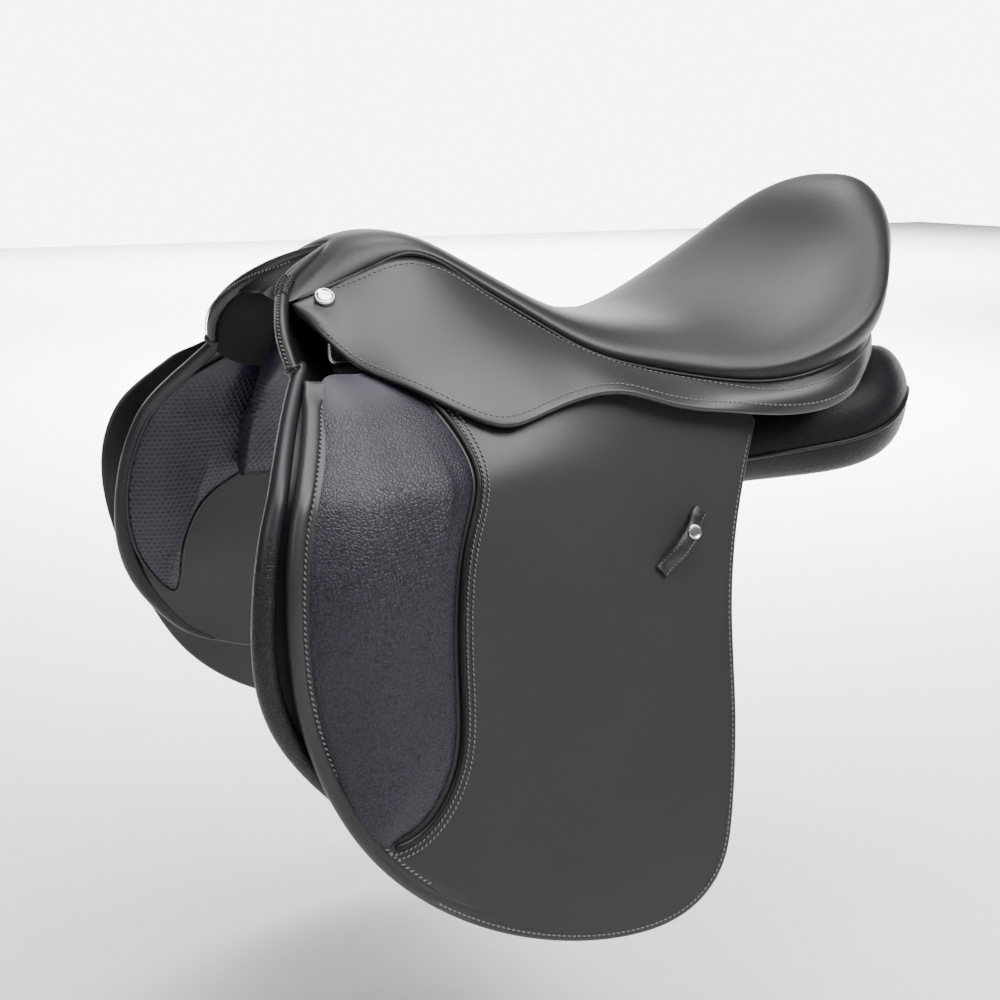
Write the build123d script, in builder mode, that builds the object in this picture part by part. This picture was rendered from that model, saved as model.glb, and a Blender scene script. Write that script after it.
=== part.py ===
"""English general-purpose saddle, 17.5 inch seat, modelled in millimetres.

The horse faces -Y, its left (near) side is +X and +Z is up.  The origin lies on the mirror
plane, at the top of the horse's back under the lowest part of the seat.
"""
from build123d import *
from math import cos, exp, sin, radians
import os

# ---------------------------------------------------------------- driving dimensions
LEATHER = 4.0                 # flap and skirt leather
SWEAT_LEATHER = 3.0           # thinner leather under the flap
COVER = 3.0                   # seat cover
TREE_WALL = 10.0              # moulded tree
WEB_THICK = 1.5               # seat webbing
LAYER_GAP = 1.2               # air between two hanging layers

FLARE_TOP = 140.0             # half width of the saddle at the height of the origin
FLARE_SLOPE = 0.265           # outward lean of the flaps
FLARE_CURVE = 0.00009         # and how it grows downwards
KNEE_BULGE = 20.0             # how far the knee block pushes the flap out
FRONT_TUCK = 40.0             # how far the flap tucks in under the pommel

HINGE_FRONT = Vector(108, -230, 71)      # line on which the flap bends up
HINGE_REAR = Vector(134, 60, 25)
SKIRT_FRONT = Vector(71, -222, 96)       # line on which the skirt's lobe bends up
SKIRT_REAR = Vector(136, -55, 51)
BEND_GAP = 3.0                # from a bending line to the edge of the moving leather

WELT_R = 2.2                  # piping between seat and skirt
ROLL_R = 5.0                  # binding round the pommel
PIPING_R = 2.4                # piping round the knee pad
PAD_RISE = 11.0               # thickness of the knee pad
BLOCK_RISE = 5.5              # thickness of the block under the flap

STRAP_WIDTH = 25.4            # girth straps, one inch
STRAP_THICK = 3.2
STRAP_PITCH = 48.0
STRAP_MIDDLE_Y = -70.0
STRAP_TOP = 22.0
STRAP_TIP = -250.0
STRAP_HOLE_R = 2.75
STRAP_HOLES = 7
STRAP_HOLE_PITCH = 25.0
STRAP_LOWEST_HOLE = -226.0
STRAP_NAMES = ("front", "middle", "rear")

BAR_X = 80.0                  # inner face of the stirrup bar's plate
BAR_FRONT = -185.0
BAR_REAR = -98.0
BAR_HEIGHT = 64.0             # middle of the bar
BAR_GAP = 5.0                 # slot for the stirrup leather
BAR_PLATE = 3.0
CATCH_PIN = Vector(0, -104, BAR_HEIGHT)
CATCH_PIN_R = 1.6
PIN_CLEARANCE = 0.05
RIVET_R = 3.0
RIVET_YS = (-168.0, -122.0)

SCREW_R = 3.0
SCREW_YS = (-174.0, -156.0)

DEE_WIRE_R = 1.5
DEE_TOP = Vector(73.6, -203, 81.5)
DEE_WIDTH = 15.0
DEE_DROP = 13.0

KEEPER_MIDDLE = Vector(0, -10, -48)
KEEPER_LENGTH = 46.0
KEEPER_WIDTH = 10.0
KEEPER_TURN = 45.0
KEEPER_GAP = 6.5
KEEPER_STRAP = 2.0
BUTTON_R = 6.5
KEEPER_BUTTON_R = 5.0
BUTTON_HEIGHT = 2.5

# Seat: y, half width and height at the welt, half width and height at the belly above it,
# top at the centre, underside at the centre and underside at 0.6 of the half width.
SEAT_STATIONS = [
    (-186, 44, 112, 45, 114, 130, 114, 112),
    (-172, 46, 121, 47, 123, 139, 114, 112),
    (-145, 49, 129, 50, 130, 141, 114, 112),
    (-110, 56, 111, 58, 114, 128, 100, 98),
    (-75, 69, 88, 71, 91, 109, 80, 78),
    (-40, 88, 66, 90, 69, 92, 64, 64),
    (-5, 103, 55, 105, 59, 83, 55, 55),
    (35, 125, 48, 128, 53, 79, 54, 56),
    (75, 139, 47, 143, 56, 84, 58, 58),
    (110, 142, 54, 147, 68, 99, 66, 64),
    (145, 126, 62, 143, 86, 121, 78, 74),
    (175, 102, 68, 124, 106, 146, 96, 88),
    (200, 74, 72, 98, 122, 165, 110, 104),
    (220, 44, 84, 74, 132, 174, 118, 112),
    (236, 20, 118, 44, 138, 169, 126, 124),
    (243, 8, 132, 22, 142, 156, 136, 134),
]
SEAT_CROWN = (2.6, 1.8)       # exponents of the seat's cross-section

# Skirt: y, welt x, welt z, lower edge x, lower edge z.
SKIRT_STATIONS = [
    (-222, 50, 101, 68, 93),
    (-205, 46, 111, 90, 74),
    (-180, 47, 120, 111, 59),
    (-155, 49, 128, 124, 46),
    (-130, 53, 124, 135, 35),
    (-103, 60, 107, 138, 39),
    (-77, 70, 89, 136, 46),
    (-40, 90, 66, 139, 48),
    (-10, 103, 56, 143, 39),
    (35, 127, 48, 148, 31),
    (66, 140, 46, 152, 27),
    (100, 145, 51, 154, 28),
    (130, 135, 58, 146, 35),
    (160, 115, 65, 122, 44),
    (185, 92, 70, 97, 49),
    (205, 68, 74, 73, 54),
]
SKIRT_BULGE = 4.0

# Tree: y, then the underside at the centre, at its shoulder and at its edge.
TREE_STATIONS = [
    (-205, 98, (44, 78), (75, 50)),
    (-175, 100, (44, 82), (76, 54)),
    (-140, 98, (42, 80), (74, 54)),
    (-100, 84, (44, 68), (73, 51)),
    (-60, 60, (46, 54), (76, 46)),
    (-10, 42, (60, 41), (92, 38)),
    (50, 41, (70, 41), (112, 36)),
    (110, 50, (80, 46), (118, 40)),
    (160, 66, (66, 60), (94, 54)),
    (200, 94, (38, 88), (54, 80)),
]

# Panel: y, then its face on the horse and its face under the tree, inner edge first.
PANEL_STATIONS = [
    (-205, [(30, 60), (84, 10), (138, -44)], [(38, 68), (94, 28), (146, -34)]),
    (-175, [(28, 54), (80, 2), (134, -42)], [(36, 68), (90, 26), (143, -30)]),
    (-120, [(30, 30), (74, -4), (116, -36)], [(34, 54), (80, 28), (126, -22)]),
    (-60, [(34, 8), (70, -8), (106, -30)], [(36, 40), (72, 38), (114, 2)]),
    (40, [(36, -2), (74, -18), (108, -28)], [(38, 30), (74, 34), (114, 6)]),
    (120, [(36, -2), (74, -20), (110, -28)], [(38, 32), (76, 39), (116, 12)]),
    (190, [(38, -2), (74, -17), (110, -20)], [(40, 36), (76, 47), (117, 26)]),
    (232, [(42, 2), (62, -8), (84, -6)], [(44, 34), (64, 48), (88, 28)]),
    (250, [(50, 8), (58, 4), (68, 6)], [(50, 26), (59, 32), (69, 26)]),
]

# Outlines seen from the side: y, z
FLAP_FRONT = [(-234, 62), (-246, 38), (-263, 8), (-273, -28), (-276, -75), (-272, -115),
              (-258, -160), (-236, -197), (-200, -230), (-150, -256), (-78, -271),
              (-33, -264), (-8, -244), (4, -215), (16, -160), (24, -95), (37, -40), (60, 20)]
SWEAT_FRONT = [(-234, 58), (-251, 38), (-268, 13), (-283, -20), (-291, -65), (-289, -97),
               (-280, -122), (-261, -150), (-240, -172), (-208, -189), (-155, -203),
               (-80, -213), (-20, -204), (2, -180), (12, -110), (30, -20)]
SWEAT_TOP = [(30, 10), (-60, 14), (-150, 26)]
PAD_OUTLINE = [(-224, 60), (-205, 57), (-184, 53), (-168, 43), (-153, 24), (-147, 0),
               (-158, -24), (-166, -50), (-171, -100), (-176, -146), (-190, -172),
               (-212, -188), (-236, -188), (-252, -160), (-262, -118), (-266, -75),
               (-262, -28), (-251, 8), (-236, 36)]
MESH_OUTLINE = [(-212, 56), (-230, 48), (-250, 32), (-268, 6), (-281, -30), (-285, -66),
                (-280, -96), (-266, -122), (-252, -134), (-246, -106), (-240, -84),
                (-230, -66), (-210, -50), (-180, -36), (-160, -26), (-160, 10), (-188, 36)]
BLOCK_OUTLINE = [(-232, 30), (-200, 34), (-172, 10), (-168, -30), (-180, -80), (-190, -130),
                 (-212, -160), (-240, -150), (-254, -100), (-256, -50), (-248, -5)]

SHEET_YS = (-310, -265, -225, -185, -145, -100, -50, 10, 90)
SHEET_ZS = (110, 78, 50, 25, 0, -35, -80, -130, -190, -240, -290)
FAR = 400.0                   # longer than any piece


# ---------------------------------------------------------------- shared shapes
def smooth(t):
    """Ease from 0 to 1."""
    t = min(max(t, 0.0), 1.0)
    return t * t * (3 - 2 * t)


def side_x(y, z, inward=0.0):
    """Half width at the outer face of the flap, or of a layer that lies under it."""
    flare = FLARE_TOP - FLARE_SLOPE * z + FLARE_CURVE * z * z
    bulge = KNEE_BULGE * smooth((-y - 60) / 180) * exp(-(((z + 20) / 90) ** 2))
    tuck = FRONT_TUCK * smooth((-y - 20) / 210) * smooth(z / 75)
    return flare + bulge - tuck - inward


def across(y):
    """The cross-section plane at y: its local axes are X and Z."""
    return Plane.XZ.offset(-y)


def band(near, far):
    """Close the strip between two runs of points."""
    Spline(*near)
    Spline(*far)
    Line(near[0], far[0])
    Line(near[-1], far[-1])


def curved_layer(inward, thick):
    """A curved slab that follows the side of the saddle."""
    with BuildPart() as layer:
        for y in SHEET_YS:
            with BuildSketch(across(y)):
                with BuildLine():
                    outer = [(side_x(y, z, inward), z) for z in SHEET_ZS]
                    inner = [(side_x(y, z, inward + thick), z) for z in SHEET_ZS]
                    band(outer, inner)
                make_face()
        loft()
    return layer.part


def hinge_z(y):
    """Height of the flap's bending line."""
    run = (y - HINGE_FRONT.Y) / (HINGE_REAR.Y - HINGE_FRONT.Y)
    return HINGE_FRONT.Z + run * (HINGE_REAR.Z - HINGE_FRONT.Z)


def skirt_line_z(y):
    """Height of the skirt's bending line."""
    run = (y - SKIRT_FRONT.Y) / (SKIRT_REAR.Y - SKIRT_FRONT.Y)
    return SKIRT_FRONT.Z + run * (SKIRT_REAR.Z - SKIRT_FRONT.Z)


def off_side(part):
    """The same piece on the other side of the horse."""
    return mirror(part, about=Plane.YZ)


def write(part, name):
    part.label = name
    export_step(part, f"parts/{name}.step")


def write_pair(part, name):
    write(part, f"{name}_left")
    write(off_side(part), f"{name}_right")


# ---------------------------------------------------------------- tree and its fittings
def tree():
    """Moulded tree: arched head, two rails and the cantle, open under the seat."""
    with BuildPart() as shell:
        for y, centre, shoulder, edge in TREE_STATIONS:
            half = [(0, centre), shoulder, edge]
            under = [(-x, z) for x, z in reversed(half[1:])] + half
            over = [(x, z + TREE_WALL) for x, z in under]
            with BuildSketch(across(y)):
                with BuildLine():
                    band(under, over)
                make_face()
        loft()
        with BuildSketch(Plane.XY):
            with Locations((0, 35)):
                Ellipse(44, 105)
        extrude(amount=FAR, mode=Mode.SUBTRACT)
        for side in (1, -1):
            with Locations((side * (BAR_X - 7), (BAR_FRONT + BAR_REAR) / 2, BAR_HEIGHT - 2)):
                Box(13.6, BAR_REAR - BAR_FRONT - 8, 24)
            for y in RIVET_YS:
                with Locations(Plane((side * BAR_X, y, BAR_HEIGHT + 3), z_dir=(side, 0, 0))):
                    Cylinder(RIVET_R + PIN_CLEARANCE, 26, mode=Mode.SUBTRACT)
    return shell.part


def gullet_plate():
    """Steel arch under the head of the tree."""
    with BuildPart() as plate:
        with BuildSketch(across(-182)):
            with BuildLine():
                under = [(-66, 50), (-44, 69), (0, 88), (44, 69), (66, 50)]
                over = [(-64, 53), (-43, 73), (0, 92), (43, 73), (64, 53)]
                band(under, over)
            make_face()
        extrude(amount=-34)
        for side in (1, -1):
            for y in SCREW_YS:
                with Locations(Plane((side * 54, y, 62), z_dir=(side * 0.6, 0, 0.8))):
                    Cylinder(SCREW_R + PIN_CLEARANCE, 30, mode=Mode.SUBTRACT)
    return plate.part


def gullet_screws():
    """Four screws that hold the gullet plate to the tree."""
    with BuildPart() as screws:
        for side in (1, -1):
            for y in SCREW_YS:
                with Locations(Plane((side * 54, y, 62), z_dir=(side * 0.6, 0, 0.8))):
                    Cylinder(SCREW_R, 5)
    return screws.part


def seat_webbing():
    """Two long and three cross webs that carry the seat over the tree's opening."""
    with BuildPart() as webs:
        for x in (-14, 14):
            with BuildSketch(Plane.YZ.offset(x - 10)):
                with BuildLine():
                    under = [(-48, 60), (-20, 49), (35, 45), (90, 51), (118, 59)]
                    over = [(y, z + WEB_THICK) for y, z in under]
                    band(under, over)
                make_face()
            extrude(amount=20)
        for y, z in ((-26, 46.5), (30, 42.5), (84, 47.5)):
            with Locations((0, y, z)):
                Box(60, 24, WEB_THICK)
    return webs.part


def stirrup_bar():
    """Forged bar: plate on the tree, bridge at the front and open tongue for the leather."""
    middle = (BAR_FRONT + BAR_REAR) / 2
    length = BAR_REAR - BAR_FRONT
    tongue_x = BAR_X + BAR_PLATE + BAR_GAP
    with BuildPart() as bar:
        with Locations((BAR_X + BAR_PLATE / 2, middle, BAR_HEIGHT + 2)):
            Box(BAR_PLATE, length, 18)
        fillet(bar.edges().filter_by(Axis.X), 4)
        with Locations((tongue_x + 2.5, middle - 5, BAR_HEIGHT)):
            Box(5, length - 10, 12)
        with Locations(((BAR_X + BAR_PLATE + tongue_x) / 2 + 1, BAR_FRONT + 5, BAR_HEIGHT)):
            Box(BAR_GAP + 3, 10, 12)
        for y in RIVET_YS:
            with Locations(Plane((BAR_X, y, BAR_HEIGHT + 3), z_dir=(1, 0, 0))):
                Cylinder(RIVET_R + PIN_CLEARANCE, 12, mode=Mode.SUBTRACT)
        with Locations(Plane((BAR_X, CATCH_PIN.Y, CATCH_PIN.Z), z_dir=(1, 0, 0))):
            Cylinder(CATCH_PIN_R, 12, mode=Mode.SUBTRACT)
    return bar.part


def bar_rivets():
    """Rivets through the bar's plate into the tree."""
    with BuildPart() as rivets:
        for y in RIVET_YS:
            with Locations(Plane((BAR_X - 4, y, BAR_HEIGHT + 3), z_dir=(1, 0, 0))):
                Cylinder(RIVET_R, 14)
            with Locations(Plane((BAR_X + BAR_PLATE + 0.9, y, BAR_HEIGHT + 3), z_dir=(1, 0, 0))):
                Cylinder(RIVET_R + 1.6, 1.6)
    return rivets.part


def catch_pin():
    """Pin of the safety catch, pressed into the bar's plate."""
    with BuildPart() as pin:
        with Locations(Plane((BAR_X + 4, CATCH_PIN.Y, CATCH_PIN.Z), z_dir=(1, 0, 0))):
            Cylinder(CATCH_PIN_R, 8)
    return pin.part


def stirrup_catch():
    """Safety catch: turns up to close the back of the bar."""
    with BuildPart() as catch:
        with BuildSketch(Plane.YZ.offset(BAR_X + BAR_PLATE + 0.6)):
            with Locations((CATCH_PIN.Y, CATCH_PIN.Z)):
                Circle(3.6)
            with Locations((CATCH_PIN.Y + 6, CATCH_PIN.Z)):
                Rectangle(12, 5.6)
            with Locations((CATCH_PIN.Y + 12, CATCH_PIN.Z)):
                Circle(2.8)
            with Locations((CATCH_PIN.Y, CATCH_PIN.Z)):
                Circle(CATCH_PIN_R + PIN_CLEARANCE, mode=Mode.SUBTRACT)
        extrude(amount=3.6)
    return catch.part


# ---------------------------------------------------------------- seat
def seat_outline(station, inset, drop=0.0):
    """Closed cross-section of the seat, set in from its cover by inset."""
    y, welt_half, welt, belly_half, belly, top, under, under_side = station
    half = belly_half - inset
    rise = top - inset - belly
    p, q = SEAT_CROWN
    steps = (-1, -0.96, -0.84, -0.62, -0.32, 0, 0.32, 0.62, 0.84, 0.96, 1)
    crown = [(half * t, belly + rise * (1 - abs(t) ** p) ** (1 / q)) for t in steps]
    foot = welt_half - 1.5 - inset
    right = [(0, under), (0.6 * foot, under_side), (foot, welt)]
    if drop:
        right = [(x, z - drop) for x, z in right]
    base = [(-x, z) for x, z in reversed(right[1:])] + right
    return crown, base


def seat_solid(inset=0.0, drop=0.0):
    """Seat shape; set in from the cover, it also starts and ends earlier by that much."""
    with BuildPart() as solid:
        for i, station in enumerate(SEAT_STATIONS):
            shift = inset * ((i == 0) - (i == len(SEAT_STATIONS) - 1))
            crown, base = seat_outline(station, inset, drop)
            with BuildSketch(across(station[0] + shift)):
                with BuildLine():
                    band(crown, base)
                make_face()
        loft()
    return solid.part


def seat_foam():
    """Shaped foam between the tree and the cover."""
    with BuildPart() as foam:
        add(seat_solid(COVER + 0.4))
    return foam.part


def seat_cover():
    """Cover of the seat, blocked over the foam and closed round the pommel and cantle."""
    with BuildPart() as cover:
        add(seat_solid())
        add(seat_solid(COVER, drop=8), mode=Mode.SUBTRACT)
    return cover.part


def seat_welt():
    """Piping in the seam between seat and skirt."""
    with BuildPart() as welt:
        for y, half, height, belly_half, *_ in SEAT_STATIONS[:-3]:
            with BuildSketch(across(y)):
                with Locations((half + 2.0, height - 0.9 - 0.15 * (belly_half - half))):
                    Circle(WELT_R)
        loft()
    return welt.part


def pommel_binding():
    """Padded roll round the front of the arch."""
    half = [(14, -200, 125), (32, -221, 112), (55, -233, 98), (72, -238, 82), (84, -234, 63)]
    path = [(-x, y, z) for x, y, z in reversed(half)] + [(0, -191, 131)] + half
    with BuildPart() as roll:
        with BuildLine() as run:
            Spline(*path)
        with BuildSketch(Plane(run.line @ 0, z_dir=run.line % 0)):
            Circle(ROLL_R)
        sweep()
    return roll.part


# ---------------------------------------------------------------- skirt
def skirt_solid():
    """Whole skirt leather, from the welt to its free edge."""
    with BuildPart() as skirt:
        for y, welt_x, welt_z, low_x, low_z in SKIRT_STATIONS:
            top = Vector(welt_x + 2.2, welt_z - 6.9)
            low = Vector(low_x, low_z)
            along = (low - top).normalized()
            out = Vector(-along.Y, along.X)
            middle = (top + low) * 0.5 + out * SKIRT_BULGE
            outer = [top, middle, low]
            inner = [point - out * LEATHER for point in outer]
            with BuildSketch(across(y)):
                with BuildLine():
                    band([(p.X, p.Y) for p in outer], [(p.X, p.Y) for p in inner])
                make_face()
        loft()
    return skirt.part


def skirt_lobe_region(gap):
    """Corners, from the side, of the skirt's moving lobe, kept gap inside its bending line."""
    y0, y1 = SKIRT_FRONT.Y + 15 + gap, SKIRT_REAR.Y - gap
    return [(y0, skirt_line_z(y0) - gap), (y1, skirt_line_z(y1) - gap), (y1, 0), (y0, 0)]


def skirt():
    """The part of the skirt that stays on the saddle."""
    with BuildPart() as fixed:
        add(skirt_solid())
        with BuildSketch(Plane.YZ):
            with BuildLine():
                Polyline(*skirt_lobe_region(0), close=True)
            make_face()
        extrude(amount=FAR, mode=Mode.SUBTRACT)
    return fixed.part


def skirt_lobe():
    """The lobe over the stirrup bar, which bends up."""
    with BuildPart() as lobe:
        add(skirt_solid())
        with BuildSketch(Plane.YZ):
            with BuildLine():
                Polyline(*skirt_lobe_region(BEND_GAP), close=True)
            make_face()
        extrude(amount=FAR, mode=Mode.INTERSECT)
    return lobe.part


def skirt_button():
    """Round metal button at the front of the skirt."""
    seat = Plane((57.5, -207, 104), z_dir=(0.66, -0.1, 0.75)).offset(1.2)
    with BuildPart() as button:
        with BuildSketch(seat):
            Circle(BUTTON_R)
        extrude(amount=BUTTON_HEIGHT)
        fillet(button.edges().sort_by(Axis(seat.origin, seat.z_dir))[-1], 1.0)
    return button.part


# ---------------------------------------------------------------- side sheets
def flap():
    """Flap leather below its bending line."""
    with BuildPart() as sheet:
        add(curved_layer(0, LEATHER))
        with BuildSketch(Plane.YZ):
            with BuildLine():
                Spline(*FLAP_FRONT)
                Polyline(FLAP_FRONT[-1], (56, hinge_z(56) - BEND_GAP),
                         (-230, hinge_z(-230) - BEND_GAP), FLAP_FRONT[0])
            make_face()
        extrude(amount=FAR, mode=Mode.INTERSECT)
    return sheet.part


def inset(outline, distance):
    """Closed outline with every point moved inwards; the outline runs clockwise."""
    moved = []
    for before, point, after in zip(outline[-1:] + outline[:-1], outline, outline[1:] + outline[:1]):
        along = (Vector(*after) - Vector(*before)).normalized()
        moved.append((point[0] + along.Y * distance, point[1] - along.X * distance))
    return moved


def knee_pad():
    """Padded knee rest sewn on the flap."""
    with BuildPart() as pad:
        add(curved_layer(-PAD_RISE, PAD_RISE - 0.4))
        with BuildSketch(Plane.YZ):
            with BuildLine():
                Spline(*inset(PAD_OUTLINE, 2 * PIPING_R + 0.3), periodic=True)
            make_face()
        extrude(amount=FAR, mode=Mode.INTERSECT)
    return pad.part


def knee_pad_piping():
    """Piping in the seam round the knee pad."""
    with BuildPart() as piping:
        add(curved_layer(-2 * PIPING_R, 2 * PIPING_R - 0.4))
        with BuildSketch(Plane.YZ):
            with BuildLine():
                Spline(*PAD_OUTLINE, periodic=True)
            make_face()
            with BuildLine():
                Spline(*inset(PAD_OUTLINE, 2 * PIPING_R), periodic=True)
            make_face(mode=Mode.SUBTRACT)
        extrude(amount=FAR, mode=Mode.INTERSECT)
    return piping.part


def knee_block():
    """Contour block held by hook and loop between flap and sweat flap."""
    with BuildPart() as block:
        add(curved_layer(LEATHER + LAYER_GAP, BLOCK_RISE))
        with BuildSketch(Plane.YZ):
            with BuildLine():
                Spline(*BLOCK_OUTLINE, periodic=True)
            make_face()
        extrude(amount=FAR, mode=Mode.INTERSECT)
    return block.part


SWEAT_INWARD = LEATHER + LAYER_GAP + BLOCK_RISE + 0.3


def sweat_flap():
    """Thin flap that keeps the straps off the horse."""
    with BuildPart() as sheet:
        add(curved_layer(SWEAT_INWARD, SWEAT_LEATHER))
        with BuildSketch(Plane.YZ):
            with BuildLine():
                Spline(*SWEAT_FRONT)
                Polyline(SWEAT_FRONT[-1], *SWEAT_TOP, SWEAT_FRONT[0])
            make_face()
        extrude(amount=FAR, mode=Mode.INTERSECT)
    return sheet.part


def front_roll():
    """Soft roll along the front edge of the sweat flap."""
    with BuildPart() as roll:
        for y, z, r in ((-252, 40, 3.0), (-267, 18, 4.0), (-280, -14, 5.0), (-286, -50, 5.5),
                        (-286, -92, 5.5), (-279, -118, 5.0)):
            x = side_x(y, z, SWEAT_INWARD) + r + 1.0
            with BuildSketch(Plane((x, y, z))):
                Circle(r)
        loft()
    return roll.part


def shoulder_pad():
    """Front of the panel, which runs down the inside of the sweat flap."""
    with BuildPart() as shoulder:
        add(curved_layer(SWEAT_INWARD + SWEAT_LEATHER + 0.3, 14))
        with BuildSketch(Plane.YZ):
            with BuildLine():
                Spline(*MESH_OUTLINE, periodic=True)
            make_face()
        extrude(amount=FAR, mode=Mode.INTERSECT)
    return shoulder.part


def panel():
    """Foam-filled panel that rests on the horse, with its mesh-faced shoulder pad."""
    with BuildPart() as cushion:
        for y, horse_side, saddle_side in PANEL_STATIONS:
            with BuildSketch(across(y)):
                with BuildLine():
                    band(horse_side, saddle_side)
                make_face()
        loft()
        add(shoulder_pad())
    return cushion.part


def gullet_lining():
    """Leather lining of the arch between the two panels."""
    with BuildPart() as lining:
        for y, z in ((-212, 79), (-170, 80), (-120, 70)):
            with BuildSketch(across(y)):
                with BuildLine():
                    under = [(-24, z - 10), (0, z), (24, z - 10)]
                    over = [(x, h + 2) for x, h in under]
                    band(under, over)
                make_face()
        loft()
    return lining.part


# ---------------------------------------------------------------- girth straps
def strap_lean():
    """Outward lean of a strap, as dx over dz, at half its height."""
    z = (STRAP_TOP + STRAP_TIP) / 2
    return side_x(-80, z - 1) - side_x(-80, z + 1), 2.0


def strap_normal():
    run, drop = strap_lean()
    return Vector(drop, 0, run).normalized()


def girth_strap(y):
    """One strap, cut straight, with a pointed tip and punched holes."""
    half = STRAP_WIDTH / 2
    inward = LEATHER + LAYER_GAP
    with BuildPart() as strap:
        add(curved_layer(inward, STRAP_THICK))
        with BuildSketch(Plane.YZ):
            with BuildLine():
                Polyline((y - half, STRAP_TOP), (y + half, STRAP_TOP),
                         (y + half, STRAP_TIP + 12), (y, STRAP_TIP),
                         (y - half, STRAP_TIP + 12), close=True)
            make_face()
        extrude(amount=FAR, mode=Mode.INTERSECT)
        for i in range(STRAP_HOLES):
            z = STRAP_LOWEST_HOLE + i * STRAP_HOLE_PITCH
            x = side_x(y, z, inward + STRAP_THICK / 2)
            with Locations(Plane((x, y, z), z_dir=strap_normal())):
                Cylinder(STRAP_HOLE_R, 16, mode=Mode.SUBTRACT)
    return strap.part


def girth_webs():
    """Webbing tabs that carry the straps from the tree."""
    with BuildPart() as webs:
        add(curved_layer(LEATHER + LAYER_GAP, STRAP_THICK - 1))
        with BuildSketch(Plane.YZ):
            for i in (-1, 0, 1):
                with Locations((STRAP_MIDDLE_Y + i * STRAP_PITCH, STRAP_TOP + 9.5)):
                    Rectangle(STRAP_WIDTH, 16)
        extrude(amount=FAR, mode=Mode.INTERSECT)
    return webs.part


# ---------------------------------------------------------------- small fittings
def flap_plane(lift):
    """Plane on the flap's outer face at the keeper, its x axis along the keeper."""
    y, z = KEEPER_MIDDLE.Y, KEEPER_MIDDLE.Z
    x = side_x(y, z)
    lean = side_x(y, z - 1) - side_x(y, z)
    normal = Vector(1, 0, lean).normalized()
    down = Vector(lean, 0, -1).normalized()
    forward = Vector(0, -1, 0)
    turn = radians(KEEPER_TURN)
    return Plane((x, y, z), x_dir=forward * cos(turn) + down * sin(turn), z_dir=normal).offset(lift)


def keeper():
    """Keeper loop for the end of the stirrup leather."""
    reach = KEEPER_LENGTH / 2
    top = KEEPER_GAP + KEEPER_STRAP
    base = flap_plane(0.5)
    with BuildPart() as loop:
        with BuildSketch(Plane(base.origin, x_dir=base.x_dir, z_dir=-base.y_dir)):
            with BuildLine():
                Polyline((-reach, 0), (-reach, KEEPER_STRAP), (-reach + 9, top),
                         (reach - 9, top), (reach, KEEPER_STRAP), (reach, 0),
                         (reach - 5, 0), (reach - 10, KEEPER_GAP), (-reach + 10, KEEPER_GAP),
                         (-reach + 5, 0), close=True)
            make_face()
        extrude(amount=KEEPER_WIDTH / 2, both=True)
    return loop.part


def keeper_button():
    """Button that closes the keeper."""
    with BuildPart() as button:
        with BuildSketch(flap_plane(0.7 + KEEPER_GAP + KEEPER_STRAP)):
            with Locations((-7, 0)):
                Circle(KEEPER_BUTTON_R - 0.3)
        extrude(amount=1.6)
    return button.part


def dee_ring():
    """Front dee: straight bar at the top and a round bow below it."""
    y, z = DEE_TOP.Y, DEE_TOP.Z
    half = DEE_WIDTH / 2
    bend = 4.0
    with BuildPart() as ring:
        with BuildLine(Plane.YZ.offset(DEE_TOP.X)) as run:
            FilletPolyline((y - half, z), (y + half, z), (y + half, z - DEE_DROP),
                           (y - half, z - DEE_DROP), radius=bend, close=True)
        with BuildSketch(Plane(run.line @ 0, z_dir=run.line % 0)):
            Circle(DEE_WIRE_R)
        sweep(path=run.line)
    return ring.part


def dee_tab():
    """Moulded loop on the tree that the dee hangs in."""
    with BuildPart() as tab:
        with Locations((DEE_TOP.X - 6, DEE_TOP.Y, DEE_TOP.Z - 0.2)):
            Box(15, 7, 5)
        with Locations(Plane(DEE_TOP, z_dir=(0, 1, 0))):
            Cylinder(DEE_WIRE_R + PIN_CLEARANCE, 20, mode=Mode.SUBTRACT)
    return tab.part


# ---------------------------------------------------------------- write every piece
os.makedirs("parts", exist_ok=True)

write(tree(), "tree")
write(gullet_plate(), "gullet_plate")
write(gullet_screws(), "gullet_screws")
write(seat_webbing(), "seat_webbing")
write(seat_foam(), "seat_foam")
write(seat_cover(), "seat_cover")
write(pommel_binding(), "pommel_binding")
write(gullet_lining(), "gullet_lining")

write_pair(seat_welt(), "seat_welt")
write_pair(stirrup_bar(), "stirrup_bar")
write_pair(bar_rivets(), "stirrup_bar_rivets")
write_pair(catch_pin(), "catch_pin")
write_pair(stirrup_catch(), "stirrup_catch")
write_pair(skirt(), "skirt")
write_pair(skirt_lobe(), "skirt_lobe")
write_pair(skirt_button(), "skirt_button")
write_pair(flap(), "flap")
write_pair(knee_pad(), "knee_pad")
write_pair(knee_pad_piping(), "knee_pad_piping")
write_pair(knee_block(), "knee_block")
write_pair(sweat_flap(), "sweat_flap")
write_pair(front_roll(), "front_roll")
write_pair(panel(), "panel")
write_pair(girth_webs(), "girth_webs")
write_pair(keeper(), "leather_keeper")
write_pair(keeper_button(), "keeper_button")
write_pair(dee_ring(), "dee_ring")
write_pair(dee_tab(), "dee_tab")
for i, place in enumerate(STRAP_NAMES):
    y = STRAP_MIDDLE_Y + (i - 1) * STRAP_PITCH
    write_pair(girth_strap(y), f"girth_strap_{place}")
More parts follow.
